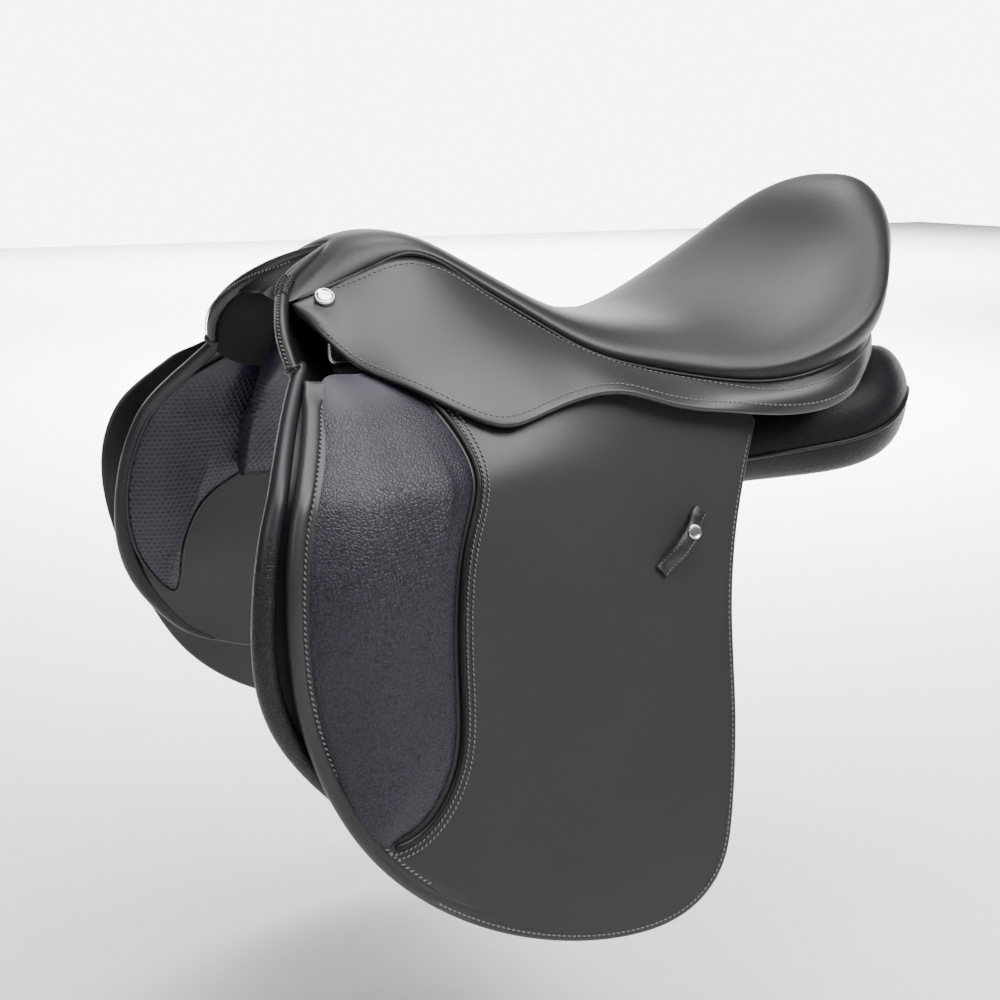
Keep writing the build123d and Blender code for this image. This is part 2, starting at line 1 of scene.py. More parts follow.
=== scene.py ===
"""Looks of the english saddle.  Lengths in the tables are in millimetres, in the CAD's frame."""
import math
import bpy
import numpy as np
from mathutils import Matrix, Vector


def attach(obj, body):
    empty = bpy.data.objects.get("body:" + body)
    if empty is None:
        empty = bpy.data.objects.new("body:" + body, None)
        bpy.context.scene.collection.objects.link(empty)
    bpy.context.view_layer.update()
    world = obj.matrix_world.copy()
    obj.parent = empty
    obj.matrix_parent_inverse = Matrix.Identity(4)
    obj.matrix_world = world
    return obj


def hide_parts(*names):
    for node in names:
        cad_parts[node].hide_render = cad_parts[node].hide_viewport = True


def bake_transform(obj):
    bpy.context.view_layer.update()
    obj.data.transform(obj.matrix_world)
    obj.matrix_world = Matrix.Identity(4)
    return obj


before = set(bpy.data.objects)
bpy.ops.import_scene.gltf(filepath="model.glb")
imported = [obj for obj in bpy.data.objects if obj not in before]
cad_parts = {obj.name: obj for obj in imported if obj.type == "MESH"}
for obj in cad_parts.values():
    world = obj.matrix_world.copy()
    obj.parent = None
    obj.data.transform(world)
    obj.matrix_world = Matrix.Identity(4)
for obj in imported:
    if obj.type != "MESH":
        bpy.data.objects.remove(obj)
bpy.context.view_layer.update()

MM = 0.001

# ------------------------ camera
CAMERA_AT = (0.8543, -0.5029, 0.1888)
CAMERA_FORWARD = (-0.861, 0.4482, -0.2402)
cam_data = bpy.data.cameras.new("camera")
cam_data.lens = 50.4
cam_data.sensor_width = 36.0
camera = bpy.data.objects.new("camera", cam_data)
bpy.context.scene.collection.objects.link(camera)
camera.location = CAMERA_AT
camera.rotation_euler = Vector(CAMERA_FORWARD).to_track_quat("-Z", "Y").to_euler()
bpy.context.scene.camera = camera

# ------------------------ dimensions shared with the CAD
LEATHER = 4.0
SWEAT_LEATHER = 3.0
SWEAT_INWARD = 11.0
SKIRT_CROWN = 4.2
BLOCK_INWARD = 5.2
BLOCK_RISE = 5.5
HINGE_FRONT, HINGE_REAR = (108, -230, 71), (134, 60, 25)
SKIRT_FRONT, SKIRT_REAR = (71, -222, 96), (136, -55, 51)

SEAT_STATIONS = [
    (-172, 46, 121, 47, 123, 139, 114), (-145, 49, 129, 50, 130, 141, 114),
    (-110, 56, 111, 58, 114, 128, 100), (-75, 69, 88, 71, 91, 109, 80),
    (-40, 88, 66, 90, 69, 92, 64), (-5, 103, 55, 105, 59, 83, 55),
    (35, 125, 48, 128, 53, 79, 54), (75, 139, 47, 143, 56, 80, 58),
    (110, 142, 54, 147, 66, 91, 66), (145, 126, 62, 143, 83, 112, 78),
    (175, 102, 68, 124, 104, 139, 94), (200, 74, 72, 98, 122, 165, 100),
    (220, 44, 80, 74, 132, 174, 100), (236, 20, 84, 44, 138, 169, 100),
    (243, 8, 86, 24, 140, 157, 100)]
SKIRT_STATIONS = [
    (-225, 50.5, 102, 57, 96.5), (-217, 48, 106, 75, 87),
    (-205, 46, 111, 90, 73), (-180, 47, 120, 111, 59),
    (-155, 49, 128, 124, 46), (-130, 53, 124, 135, 35), (-103, 60, 107, 138, 39),
    (-77, 70, 89, 136, 46), (-40, 90, 66, 139, 48), (-10, 103, 56, 143, 39),
    (35, 127, 48, 148, 31), (66, 140, 46, 152, 27), (100, 145, 51, 154, 28),
    (130, 135, 58, 146, 35), (160, 115, 65, 122, 44), (185, 92, 70, 97, 49),
    (205, 68, 74, 73, 54), (222, 40, 79, 44, 60), (233, 14, 83, 15, 65), (235, 0, 84, 0, 66)]
PANEL_STATIONS = [
    (-205, [(30, 60), (84, 10), (138, -44)], [(38, 68), (94, 28), (146, -34)]),
    (-175, [(28, 54), (80, 2), (134, -42)], [(36, 68), (90, 26), (143, -30)]),
    (-120, [(30, 30), (74, -4), (116, -36)], [(34, 54), (80, 28), (126, -22)]),
    (-60, [(34, 8), (70, -8), (106, -30)], [(36, 40), (72, 38), (114, 2)]),
    (40, [(36, -2), (74, -18), (108, -28)], [(38, 30), (74, 34), (114, 6)]),
    (120, [(36, -2), (74, -20), (110, -28)], [(38, 32), (76, 39), (116, 12)]),
    (190, [(38, -2), (74, -17), (110, -20)], [(40, 36), (76, 47), (117, 26)]),
    (232, [(42, 2), (62, -8), (84, -6)], [(44, 34), (64, 48), (88, 28)]),
    (250, [(50, 8), (58, 4), (68, 6)], [(50, 26), (59, 32), (69, 26)])]
FLAP_FRONT = [(-234, 62), (-246, 38), (-263, 8), (-273, -28), (-276, -75), (-272, -115),
              (-258, -160), (-236, -197), (-200, -230), (-150, -256), (-78, -271),
              (-33, -264), (-8, -244), (4, -215), (16, -160), (24, -95), (37, -40), (60, 20)]
FLAP_TOP = [(50, 36), (0, 47), (-60, 57), (-110, 63), (-150, 65), (-185, 63), (-215, 61), (-228, 61)]
SWEAT_FRONT = [(-234, 58), (-251, 38), (-268, 13), (-283, -20), (-291, -65), (-289, -97),
               (-280, -122), (-261, -150), (-240, -172), (-208, -189), (-155, -203),
               (-80, -213), (-20, -204), (2, -180), (12, -110), (30, -20)]
SWEAT_TOP = [(30, 10), (-60, 14), (-150, 26)]
PAD_OUTLINE = [(-222, 63), (-206, 64), (-184, 64), (-166, 55), (-152, 33), (-147, 4),
               (-158, -24), (-166, -50), (-171, -100), (-176, -146), (-190, -172),
               (-212, -188), (-236, -188), (-252, -160), (-262, -118), (-266, -75),
               (-262, -28), (-251, 8), (-236, 36)]
MESH_OUTLINE = [(-212, 56), (-230, 48), (-250, 32), (-268, 6), (-281, -30), (-285, -66),
                (-280, -96), (-266, -122), (-252, -134), (-246, -106), (-240, -84),
                (-230, -66), (-210, -50), (-180, -36), (-160, -26), (-160, 10), (-188, 36)]
BLOCK_OUTLINE = [(-232, 30), (-200, 34), (-172, 10), (-168, -30), (-180, -80), (-190, -130),
                 (-212, -160), (-240, -150), (-254, -100), (-256, -50), (-248, -5)]
ARCH_HALF = [(0, -182, 131), (14, -197, 125), (32, -221, 112), (50, -231, 101),
             (63, -236, 91), (73, -238, 80), (84, -236, 63)]
STUD_FOOT = np.array([57.5, -207, 104])
CANTLE_WELT = (0, 245.5, 86)
LINING_LIP = [(0, -203, 96), (22, -205, 91), (43, -208, 76), (59, -211, 62), (72, -214, 48)]
LINING_BACK = [(0, -110, 84), (22, -110, 80), (42, -110, 68), (58, -110, 58), (70, -110, 50)]
FRONT_ROLL = [(-229, 70, 3.8), (-236, 60, 4.6), (-248, 43, 5.2), (-263, 20, 5.6), (-277, -12, 6.3),
              (-285, -50, 6.8), (-286, -90, 7.0), (-277, -122, 6.4), (-259, -150, 5.2),
              (-240, -170, 4.0), (-216, -184, 2.6)]


def smooth(t):
    t = np.clip(t, 0.0, 1.0)
    return t * t * (3 - 2 * t)


def side_x(y, z, inward=0.0):
    """Half width at the outer face of the flap, or of a layer under it."""
    flare = 140 - 0.265 * z + 0.00009 * z * z
    bulge = 20 * smooth((-y - 60) / 180) * np.exp(-(((z + 20) / 90) ** 2))
    tuck = 40 * smooth((-y - 20) / 210) * smooth(z / 75)
    return flare + bulge - tuck - inward


# ------------------------ curves and meshes
def spline(t, values, at):
    """Natural cubic spline through rows of values at t, read at the places at."""
    t, values, at = np.asarray(t, float), np.asarray(values, float), np.asarray(at, float)
    n = len(t)
    h = np.diff(t)
    system = np.zeros((n, n))
    right = np.zeros((n,) + values.shape[1:])
    system[0, 0] = system[-1, -1] = 1
    for i in range(1, n - 1):
        system[i, i - 1:i + 2] = h[i - 1], 2 * (h[i - 1] + h[i]), h[i]
        right[i] = 6 * ((values[i + 1] - values[i]) / h[i] - (values[i] - values[i - 1]) / h[i - 1])
    bend = np.linalg.solve(system, right.reshape(n, -1)).reshape(right.shape)
    k = np.clip(np.searchsorted(t, at) - 1, 0, n - 2)
    shape = (-1,) + (1,) * (values.ndim - 1)
    a = (at - t[k]).reshape(shape)
    step = h[k].reshape(shape)
    b = step - a
    return ((bend[k] * b ** 3 + bend[k + 1] * a ** 3) / (6 * step)
            + (values[k] / step - bend[k] * step / 6) * b
            + (values[k + 1] / step - bend[k + 1] * step / 6) * a)


def curve(points, count, closed=False):
    """Evenly spaced points on a smooth curve through points."""
    p = np.asarray(points, float)
    n = len(p)
    if closed:
        p = np.concatenate([p[-4:], p, p[:5]])
    t = np.concatenate([[0], np.cumsum(np.linalg.norm(np.diff(p, axis=0), axis=1) ** 0.75)])
    lo, hi = (t[4], t[4 + n]) if closed else (t[0], t[-1])
    fine = spline(t, p, np.linspace(lo, hi, 40 * n))
    return even(fine, count, closed)


def even(points, count, closed=False):
    """The same run of points, evenly spaced."""
    run = distances(points)
    at = np.linspace(0, run[-1], count + 1 if closed else count)
    out = np.stack([np.interp(at, run, points[:, i]) for i in range(points.shape[1])], 1)
    return out[:-1] if closed else out


def distances(points):
    """How far along a run each of its points lies."""
    return np.concatenate([[0], np.cumsum(np.linalg.norm(np.diff(points, axis=0), axis=1))])


def ring_distances(rings):
    """How far along a grid each of its rings lies, by the mean gap between them."""
    return np.concatenate([[0], np.cumsum(np.linalg.norm(np.diff(rings, axis=0), axis=2).mean(1))])


def unit(v):
    return v / np.maximum(np.linalg.norm(v, axis=-1, keepdims=True), 1e-9)


def both_sides(half):
    """A run from the mirror plane outwards, joined to its mirror image."""
    return np.concatenate([(half * (-1, 1, 1))[::-1][:-1], half])


def grid_faces(rows, cols, wrap, start=0):
    """Quads between rows of a grid of points; wrap joins the last column to the first."""
    faces = []
    for i in range(rows - 1):
        for j in range(cols if wrap else cols - 1):
            k = (j + 1) % cols
            a, b = start + i * cols, start + (i + 1) * cols
            faces.append((a + j, a + k, b + k, b + j))
    return faces


def capped_faces(rows, cols):
    """Faces of a grid wrapped round its columns, and a fan at each end to one more point."""
    first, last = range(cols), (rows - 1) * cols
    faces = grid_faces(rows, cols, True)
    faces += [((j + 1) % cols, j, rows * cols) for j in first]
    faces += [(last + j, last + (j + 1) % cols, rows * cols + 1) for j in first]
    return faces


def mesh(name, verts, faces, material, body, side=1, face_slots=None, extra=()):
    """A smooth-shaded piece that rides on a body; side -1 mirrors it to the horse's right."""
    verts = np.asarray(verts, float) * MM
    if side < 0:
        verts = verts * (-1, 1, 1)
        faces = [f[::-1] for f in faces]
    data = bpy.data.meshes.new(name)
    data.from_pydata(verts.tolist(), [], faces)
    data.polygons.foreach_set("use_smooth", [True] * len(faces))
    for m in (material, *extra):
        data.materials.append(m)
    if face_slots is not None:
        data.polygons.foreach_set("material_index", list(face_slots))
    data.update()
    obj = bpy.data.objects.new(name, data)
    bpy.context.scene.collection.objects.link(obj)
    if body:
        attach(obj, body)
    return obj


def outward(faces, verts):
    """Faces turned so that the closed mesh encloses a positive volume."""
    v = np.asarray(verts, float)
    total = 0.0
    for f in faces:
        for i in range(1, len(f) - 1):
            total += np.dot(v[f[0]], np.cross(v[f[i]], v[f[i + 1]]))
    return faces if total > 0 else [f[::-1] for f in faces]


def frames(points, closed=False):
    """Tangent, and two directions across it that don't twist, along a run of points."""
    if closed:
        tangent = unit(np.roll(points, -1, 0) - np.roll(points, 1, 0))
    else:
        tangent = unit(np.gradient(points, axis=0))
    across = np.zeros_like(points)
    seed = np.array([0.0, 0.0, 1.0])
    if abs(tangent[0] @ seed) > 0.9:
        seed = np.array([1.0, 0.0, 0.0])
    for i, t in enumerate(tangent):
        seed = seed - t * (seed @ t)
        seed = seed / np.linalg.norm(seed)
        across[i] = seed
    return tangent, across, np.cross(tangent, across)


def tube(name, points, radius, material, body, side=1, closed=False, sides=14, flat=1.0):
    """A round tube along points, with one radius or one for each point, and rounded ends."""
    points = np.asarray(points, float)
    n = len(points)
    radius = np.broadcast_to(np.asarray(radius, float), (n,)).copy()
    if not closed:
        cap = np.array([0.45, 0.8, 0.95])
        radius[:3] *= cap
        radius[-3:] *= cap[::-1]
    _, a, b = frames(points, closed)
    turn = np.linspace(0, 2 * math.pi, sides, endpoint=False)
    ring = a[:, None] * np.cos(turn)[None, :, None] + flat * b[:, None] * np.sin(turn)[None, :, None]
    verts = (points[:, None] + ring * radius[:, None, None]).reshape(-1, 3)
    if closed:
        faces = [tuple(k % (n * sides) for k in f) for f in grid_faces(n + 1, sides, True)]
    else:
        faces = grid_faces(n, sides, True)
        faces += [tuple(range(sides))[::-1], tuple(range((n - 1) * sides, n * sides))]
    return mesh(name, verts, outward(faces, verts), material, body, side)


def stitch_set(runs, pitch, size, gap, slant=0.0):
    """Points and faces of rows of stitches.  Each run is (points, normals)."""
    verts, faces = [], []
    turn = np.linspace(0, 2 * math.pi, 6, endpoint=False)
    steps = ((-0.5, 0.35), (-0.36, 0.9), (0.0, 1.0), (0.36, 0.9), (0.5, 0.35))
    for points, normals in runs:
        count = max(int(distances(points)[-1] / pitch), 1)
        both = even(np.concatenate([points, normals * 1e-4], 1), count * 2 + 1)
        spots = both[1::2, :3]
        ups = unit(both[1::2, 3:])
        along = unit(both[2::2, :3] - both[:-1:2, :3])
        for p, up, t in zip(spots, ups, along):
            w = np.cross(up, t)
            w = w / max(np.linalg.norm(w), 1e-9)
            d = t * math.cos(slant) + w * math.sin(slant)
            e = np.cross(up, d)
            base = len(verts)
            for s, r in steps:
                middle = p + d * s * (pitch - gap) + up * size * (0.55 - 2.2 * s * s)
                for c in turn:
                    verts.append(middle + (e * math.cos(c) + up * math.sin(c)) * size * r)
            for i in range(len(steps) - 1):
                for j in range(6):
                    k = (j + 1) % 6
                    faces.append((base + i * 6 + j, base + i * 6 + k,
                                  base + i * 6 + 6 + k, base + i * 6 + 6 + j))
            faces.append(tuple(base + j for j in range(5, -1, -1)))
            faces.append(tuple(base + 24 + j for j in range(6)))
    return verts, faces


def stitches(name, runs, material, body, side=1, pitch=3.4, size=0.36, gap=1.0, slant=0.0):
    """Rows of stitches as one piece."""
    return mesh(name, *stitch_set(runs, pitch, size, gap, slant), material, body, side)


# distances from a patch's edge at which its first loops lie, close together at the rim and the band
RIM_LOOPS = [0.0, 0.12, 0.45, 1.0, 1.8, 2.8, 4.0, 5.0, 5.6, 6.2, 6.8, 7.6, 8.4, 9.2, 10.2, 12.0, 14.5]
RIM_ROUND = 1.8


class Patch:
    """A layer of leather or padding that lies on the saddle's side inside an outline."""

    def __init__(self, outline, centre, inward, thick, profile, count=320, rings=26, inner=None,
                 flare=None):
        self.edge = np.asarray(outline, float)
        if len(self.edge) != count:
            self.edge = even(np.concatenate([self.edge, self.edge[:1]]), count, True)
        self.inward, self.thick, self.flare = inward, thick, flare
        self.profile = profile
        self.inner = inner or (lambda d, y, z: 0 * d)
        tangent = unit(np.roll(self.edge, -3, 0) - np.roll(self.edge, 3, 0))
        normal = np.stack([-tangent[:, 1], tangent[:, 0]], 1)
        centre = np.asarray(centre, float)
        if np.sum(normal * (centre - self.edge)) < 0:
            normal = -normal
        for _ in range(4):
            normal = unit(normal + np.roll(normal, 1, 0) + np.roll(normal, -1, 0))
        self.normal = normal
        self.spacing = float(np.linalg.norm(self.edge[1] - self.edge[0]))
        self.loops = [self.ring(d) for d in RIM_LOOPS]
        last = self.loops[-1]
        self.depth = [np.full(count, d) for d in RIM_LOOPS]
        for k in range(1, rings):
            t = (k / rings) ** 1.15
            self.loops.append(last + (centre - last) * t)
            self.depth.append(RIM_LOOPS[-1] + np.linalg.norm(centre - last, axis=1) * t)
        self.centre = centre
        self.count = count

    def ring(self, d):
        """The outline moved in by d, with its corners eased so that it never folds over itself."""
        loop = self.edge + self.normal * d
        for _ in range(int(2.2 * (abs(d) / self.spacing) ** 2)):
            loop = loop * 0.5 + (np.roll(loop, 1, 0) + np.roll(loop, -1, 0)) * 0.25
        return loop

    def place(self, yz, height):
        """Point on the outer face at (y, z), lifted by height."""
        y, z = yz[..., 0], yz[..., 1]
        x = side_x(y, z, self.inward) + height
        if self.flare:
            x = x + self.flare(y, z)
        return np.stack([x, y, z], -1)

    def build(self):
        """Points and faces of the whole layer, closed by a rounded rim."""
        outer, inner = [], []
        for loop, d in zip(self.loops, self.depth):
            y, z = loop[:, 0], loop[:, 1]
            near_rim = np.clip(1 - d / min(self.thick / 2, RIM_ROUND), 0, 1)
            round_off = self.thick / 2 * (1 - np.sqrt(1 - near_rim ** 2))
            outer.append(self.place(loop, self.profile(d, y, z) - round_off))
            inner.append(self.place(loop, -self.thick + round_off - self.inner(d, y, z)))
        far = np.array([self.depth[-1].max() * 1.1])
        yc, zc = self.centre[:1], self.centre[1:]
        top = self.place(self.centre, float(self.profile(far, yc, zc)[0]))
        low = self.place(self.centre, float(-self.thick - self.inner(far, yc, zc)[0]))
        n, m = self.count, len(self.loops)
        verts = np.concatenate([np.concatenate(outer), np.concatenate(inner[1:]), [top, low]])
        outer_faces = grid_faces(m, n, True)
        inner_start = m * n
        inner_faces = [f[::-1] for f in grid_faces(m - 1, n, True, inner_start)]
        rim = [(j, inner_start + j, inner_start + (j + 1) % n, (j + 1) % n) for j in range(n)]
        last_out, last_in = (m - 1) * n, inner_start + (m - 2) * n
        top_i, low_i = len(verts) - 2, len(verts) - 1
        fans = [(last_out + j, last_out + (j + 1) % n, top_i) for j in range(n)]
        fans_in = [(last_in + (j + 1) % n, last_in + j, low_i) for j in range(n)]
        faces = outer_faces + fans + rim + inner_faces + fans_in
        return verts, outward(faces, verts)

    def path(self, d, lift=0.0, part=None, face=1):
        """A run at distance d inside the edge, on the outer (1) or inner (-1) face, and its normals."""
        loop = self.ring(d)
        depth = np.full(self.count, float(d))
        y, z = loop[:, 0], loop[:, 1]
        if face > 0:
            points = self.place(loop, self.profile(depth, y, z) + lift)
        else:
            points = self.place(loop, -self.thick - self.inner(depth, y, z) - lift)
        eps = 0.5
        dy = self.place(loop + (eps, 0), 0) - self.place(loop - (eps, 0), 0)
        dz = self.place(loop + (0, eps), 0) - self.place(loop - (0, eps), 0)
        normals = unit(np.cross(dy, dz)) * face
        if part:
            keep = part(y, z)
            index = np.flatnonzero(keep)
            gaps = np.flatnonzero(np.diff(index) > 1)
            if len(gaps):
                index = np.roll(index, -(gaps[0] + 1))
            points, normals = points[index], normals[index]
        else:
            points = np.concatenate([points, points[:1]])
            normals = np.concatenate([normals, normals[:1]])
        return points, normals


# ------------------------ materials
PORE_SCALE, PORE_DEPTH = 1400.0, 0.0003
# near black inside the holes: painted shade in place of real openings
HOLE_PAINTED_SHADE, HOLE_DEPTH = (0.001, 0.001, 0.0012, 1), 0.0009
WEAVE_DEPTH = 0.0006
# creases between the pebbles darkened to this share of the dark colour: painted shade
CREASE_SHADE = 0.45


def node(tree, kind, inputs=(), **props):
    """A shader node with its inputs linked or set."""
    n = tree.nodes.new("ShaderNode" + kind)
    for key, value in props.items():
        setattr(n, key, value)
    for key, value in inputs:
        if isinstance(value, bpy.types.NodeSocket):
            tree.links.new(value, n.inputs[key])
        else:
            n.inputs[key].default_value = value
    return n


def calc(tree, operation, *values):
    return node(tree, "Math", enumerate(values), operation=operation).outputs[0]


def ramp(tree, value, start, end, first=0.0, last=1.0):
    """A soft step from first to last, as value goes from start to end."""
    return node(tree, "MapRange", (("Value", value), ("From Min", start), ("From Max", end),
                                             ("To Min", first), ("To Max", last)),
                interpolation_type="SMOOTHSTEP").outputs["Result"]


def bump(tree, height, strength, depth, under=()):
    """The normal bumped by a height, over an earlier bump if under names one."""
    return node(tree, "Bump", (("Height", height), ("Strength", strength), ("Distance", depth),
                                         *under)).outputs["Normal"]


def darkened(tree, factor, dark, colour):
    """The colour where factor is 1, and the dark one where it is 0."""
    mix = node(tree, "Mix", (("Factor", factor),), data_type="RGBA")
    mix.inputs["A"].default_value = dark
    tree.links.new(colour, mix.inputs["B"])
    return mix.outputs["Result"]


def grain_layer(tree, where, smooth_here, grain, dark, colour, normal):
    """Pebbles, with painted shade darkening the creases between them."""
    scale, strength, depth = grain
    warp = node(tree, "TexNoise", (("Vector", where), ("Scale", 220.0), ("Detail", 1.0)))
    push = node(tree, "VectorMath", ((0, warp.outputs["Color"]), (1, (0.0006,) * 3)),
                operation="MULTIPLY")
    moved = node(tree, "VectorMath", ((0, where), (1, push.outputs[0])), operation="ADD")
    cells = node(tree, "TexVoronoi", (("Vector", moved.outputs[0]), ("Scale", scale)),
                 feature="DISTANCE_TO_EDGE")
    height = calc(tree, "MAXIMUM", ramp(tree, cells.outputs["Distance"], 0.0, 0.22), smooth_here)
    normal = bump(tree, height, strength, depth, (("Normal", normal),))
    return darkened(tree, height, (*(c * CREASE_SHADE for c in dark), 1), colour), normal


def hole_layer(tree, where, smooth_here, holes, colour, normal):
    """Rows of small holes, each row moved along by half a pitch, painted near black inside as shade."""
    pitch, radius = holes
    place = node(tree, "SeparateXYZ", (("Vector", where),)).outputs
    row = calc(tree, "DIVIDE", place["Z"], pitch * 0.866)
    odd = calc(tree, "FLOORED_MODULO", calc(tree, "FLOOR", row), 2.0)
    col = calc(tree, "ADD", calc(tree, "DIVIDE", place["Y"], pitch), calc(tree, "MULTIPLY", odd, 0.5))
    u, v = calc(tree, "FRACT", col), calc(tree, "FRACT", row)
    spot = node(tree, "CombineXYZ", (("X", u), ("Y", v)))
    far = node(tree, "VectorMath", ((0, spot.outputs[0]), (1, (0.5, 0.5, 0.0))),
               operation="DISTANCE")
    edge = calc(tree, "MAXIMUM", ramp(tree, far.outputs["Value"], radius - 0.08, radius + 0.1), smooth_here)
    normal = bump(tree, edge, 0.9, HOLE_DEPTH, (("Normal", normal),))
    return darkened(tree, edge, HOLE_PAINTED_SHADE, colour), normal


def weave_layer(tree, where, scale, normal):
    """Crossed threads of a woven web."""
    threads = [node(tree, "TexWave", (("Vector", where), ("Scale", scale), ("Distortion", 0.6)),
                    bands_direction=way).outputs["Fac"] for way in "YZ"]
    return bump(tree, calc(tree, "MULTIPLY", *threads), 0.6, WEAVE_DEPTH, (("Normal", normal),))


def material(name, dark, light, rough=(0.42, 0.55), fine=0.25, mottle=9.0, metallic=0.0, specular=0.5,
             grain=None, holes=None, weave=None, fade=None):
    """Leather, fabric or metal: mottled colour, uneven gloss and a bump of grain at its real scale.

    Grain is (scale, strength, depth), holes are (pitch, radius), and both turn smooth over the heights
    in fade.
    """
    m = bpy.data.materials.new(name)
    m.use_nodes = True
    t = m.node_tree
    shader = t.nodes["Principled BSDF"]
    where = node(t, "TexCoord").outputs["Object"]
    clouds = node(t, "TexNoise", (("Vector", where), ("Scale", mottle), ("Detail", 4.0)))
    blend = node(t, "Mix", (("Factor", clouds.outputs["Fac"]),), data_type="RGBA")
    blend.inputs["A"].default_value = (*dark, 1)
    blend.inputs["B"].default_value = (*light, 1)
    colour = blend.outputs["Result"]
    gloss = node(t, "MapRange", (("Value", clouds.outputs["Fac"]), ("From Min", 0.3),
                                           ("From Max", 0.7), ("To Min", rough[1]), ("To Max", rough[0])))
    pores = node(t, "TexNoise", (("Vector", where), ("Scale", PORE_SCALE), ("Detail", 2.0)))
    normal = bump(t, pores.outputs["Fac"], fine, PORE_DEPTH)
    smooth_here = 0.0
    if fade:
        smooth_here = ramp(t, node(t, "SeparateXYZ", (("Vector", where),)).outputs["Z"], *fade)
    if grain:
        colour, normal = grain_layer(t, where, smooth_here, grain, dark, colour, normal)
    if holes:
        colour, normal = hole_layer(t, where, smooth_here, holes, colour, normal)
    if weave:
        normal = weave_layer(t, where, weave, normal)
    t.links.new(colour, shader.inputs["Base Color"])
    t.links.new(gloss.outputs["Result"], shader.inputs["Roughness"])
    t.links.new(normal, shader.inputs["Normal"])
    shader.inputs["Metallic"].default_value = metallic
    shader.inputs["Specular IOR Level"].default_value = specular
    return m


SEAT_LEATHER = material("seat_leather", (0.013, 0.0132, 0.014), (0.018, 0.0183, 0.0196), (0.42, 0.5),
                        fine=0.15, grain=(620.0, 0.05, 0.0002))
SMOOTH_LEATHER = material("smooth_leather", (0.015, 0.0152, 0.0152), (0.02, 0.0202, 0.0202), (0.4, 0.47),
                          fine=0.14, specular=0.55)
PEBBLED = material("pebbled_leather", (0.007, 0.007, 0.012), (0.018, 0.018, 0.037), (0.42, 0.5), fine=0.1,
                   grain=(430.0, 0.55, 0.00032), fade=(0.04, 0.056))
ROLL_LEATHER = material("roll_leather", (0.008, 0.008, 0.0095), (0.013, 0.013, 0.018), (0.4, 0.48),
                        fine=0.1, specular=0.4, grain=(430.0, 0.45, 0.00032), fade=(-0.03, 0.0))
PANEL_LEATHER = material("panel_leather", (0.005, 0.005, 0.007), (0.009, 0.009, 0.014), (0.42, 0.5),
                         fine=0.12, specular=0.22, grain=(500.0, 0.4, 0.0003))
BINDING = material("binding_leather", (0.01, 0.01, 0.0105), (0.015, 0.015, 0.016), (0.36, 0.46),
                   grain=(700.0, 0.1, 0.0003))
PIPING = material("piping", (0.003, 0.003, 0.003), (0.005, 0.005, 0.005), (0.36, 0.46), fine=0.2,
                  specular=0.3)
MESH = material("perforated_mesh", (0.011, 0.011, 0.022), (0.019, 0.019, 0.042), (0.34, 0.44), fine=0.15,
                holes=(0.004, 0.32), fade=(0.02, 0.045))
THREAD = material("thread", (0.09, 0.09, 0.092), (0.16, 0.16, 0.165), (0.45, 0.55), fine=0.4)
# dark lining leather, made near black as painted shade for the gap between the flap and the sweat flap
PAINTED_SHADE_LINING = material("painted_shade_lining", (0.006, 0.006, 0.007), (0.01, 0.01, 0.012), (0.5, 0.6), fine=0.3)
# lining under the pommel arch, darker and less glossy than the other leather as painted shade in the gullet
ARCH_LINING_PAINTED_SHADE = material("arch_lining_painted_shade", (0.003, 0.003, 0.003), (0.006, 0.006, 0.006), (0.6, 0.7),
                       fine=0.3, specular=0.15)
STRAP = material("strap_leather", (0.012, 0.012, 0.012), (0.02, 0.02, 0.02), (0.4, 0.52), fine=0.35,
                 grain=(900.0, 0.15, 0.0003))
WEBBING = material("webbing", (0.42, 0.4, 0.34), (0.55, 0.52, 0.45), (0.75, 0.85), weave=420.0)
FOAM = material("foam", (0.03, 0.03, 0.035), (0.05, 0.05, 0.055), (0.75, 0.9), fine=0.8)
TREE_PLASTIC = material("tree_plastic", (0.02, 0.02, 0.022), (0.03, 0.03, 0.033), (0.4, 0.55), fine=0.5,
                        mottle=30.0)
STEEL = material("forged_steel", (0.38, 0.38, 0.39), (0.55, 0.55, 0.56), (0.32, 0.45), metallic=1.0,
                 fine=0.35, mottle=60.0)
BRIGHT = material("bright_metal", (0.72, 0.72, 0.71), (0.86, 0.86, 0.85), (0.16, 0.26), metallic=1.0,
                  fine=0.04, mottle=80.0)

CAD_LOOKS = {"tree": TREE_PLASTIC, "gullet_plate": STEEL, "gullet_screws": STEEL, "seat_webbing": WEBBING,
             "stirrup_bar": STEEL, "catch_pin": STEEL, "stirrup_catch": STEEL, "girth_webs": WEBBING,
             "dee_ring": BRIGHT, "dee_tab": TREE_PLASTIC, "girth_strap": STRAP}
for name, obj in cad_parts.items():
    for head, look in CAD_LOOKS.items():
        if name.startswith(head):
            for s in obj.material_slots:
                s.material = look


# ------------------------ seat
def seat_ring(y, wx, wz, bx, bz, top, under, low=9, high=26):
    """Half of a cross-section of the seat from the welt to the middle, as x, y, z."""
    b = np.linspace(0, math.pi / 2, low)[:-1]
    a = np.linspace(0, math.pi / 2, high)
    x = np.concatenate([wx + (bx - wx) * np.sin(b), bx * np.cos(a) ** (2 / 2.6)])
    z = np.concatenate([wz + (bz - wz) * (1 - np.cos(b)), bz + (top - bz) * np.sin(a) ** (2 / 1.8)])
    return np.stack([x, np.full_like(x, y), z], 1)


SEAT_ROWS = 150
BASE_POINTS = 7
FRONT_UNDER = 113


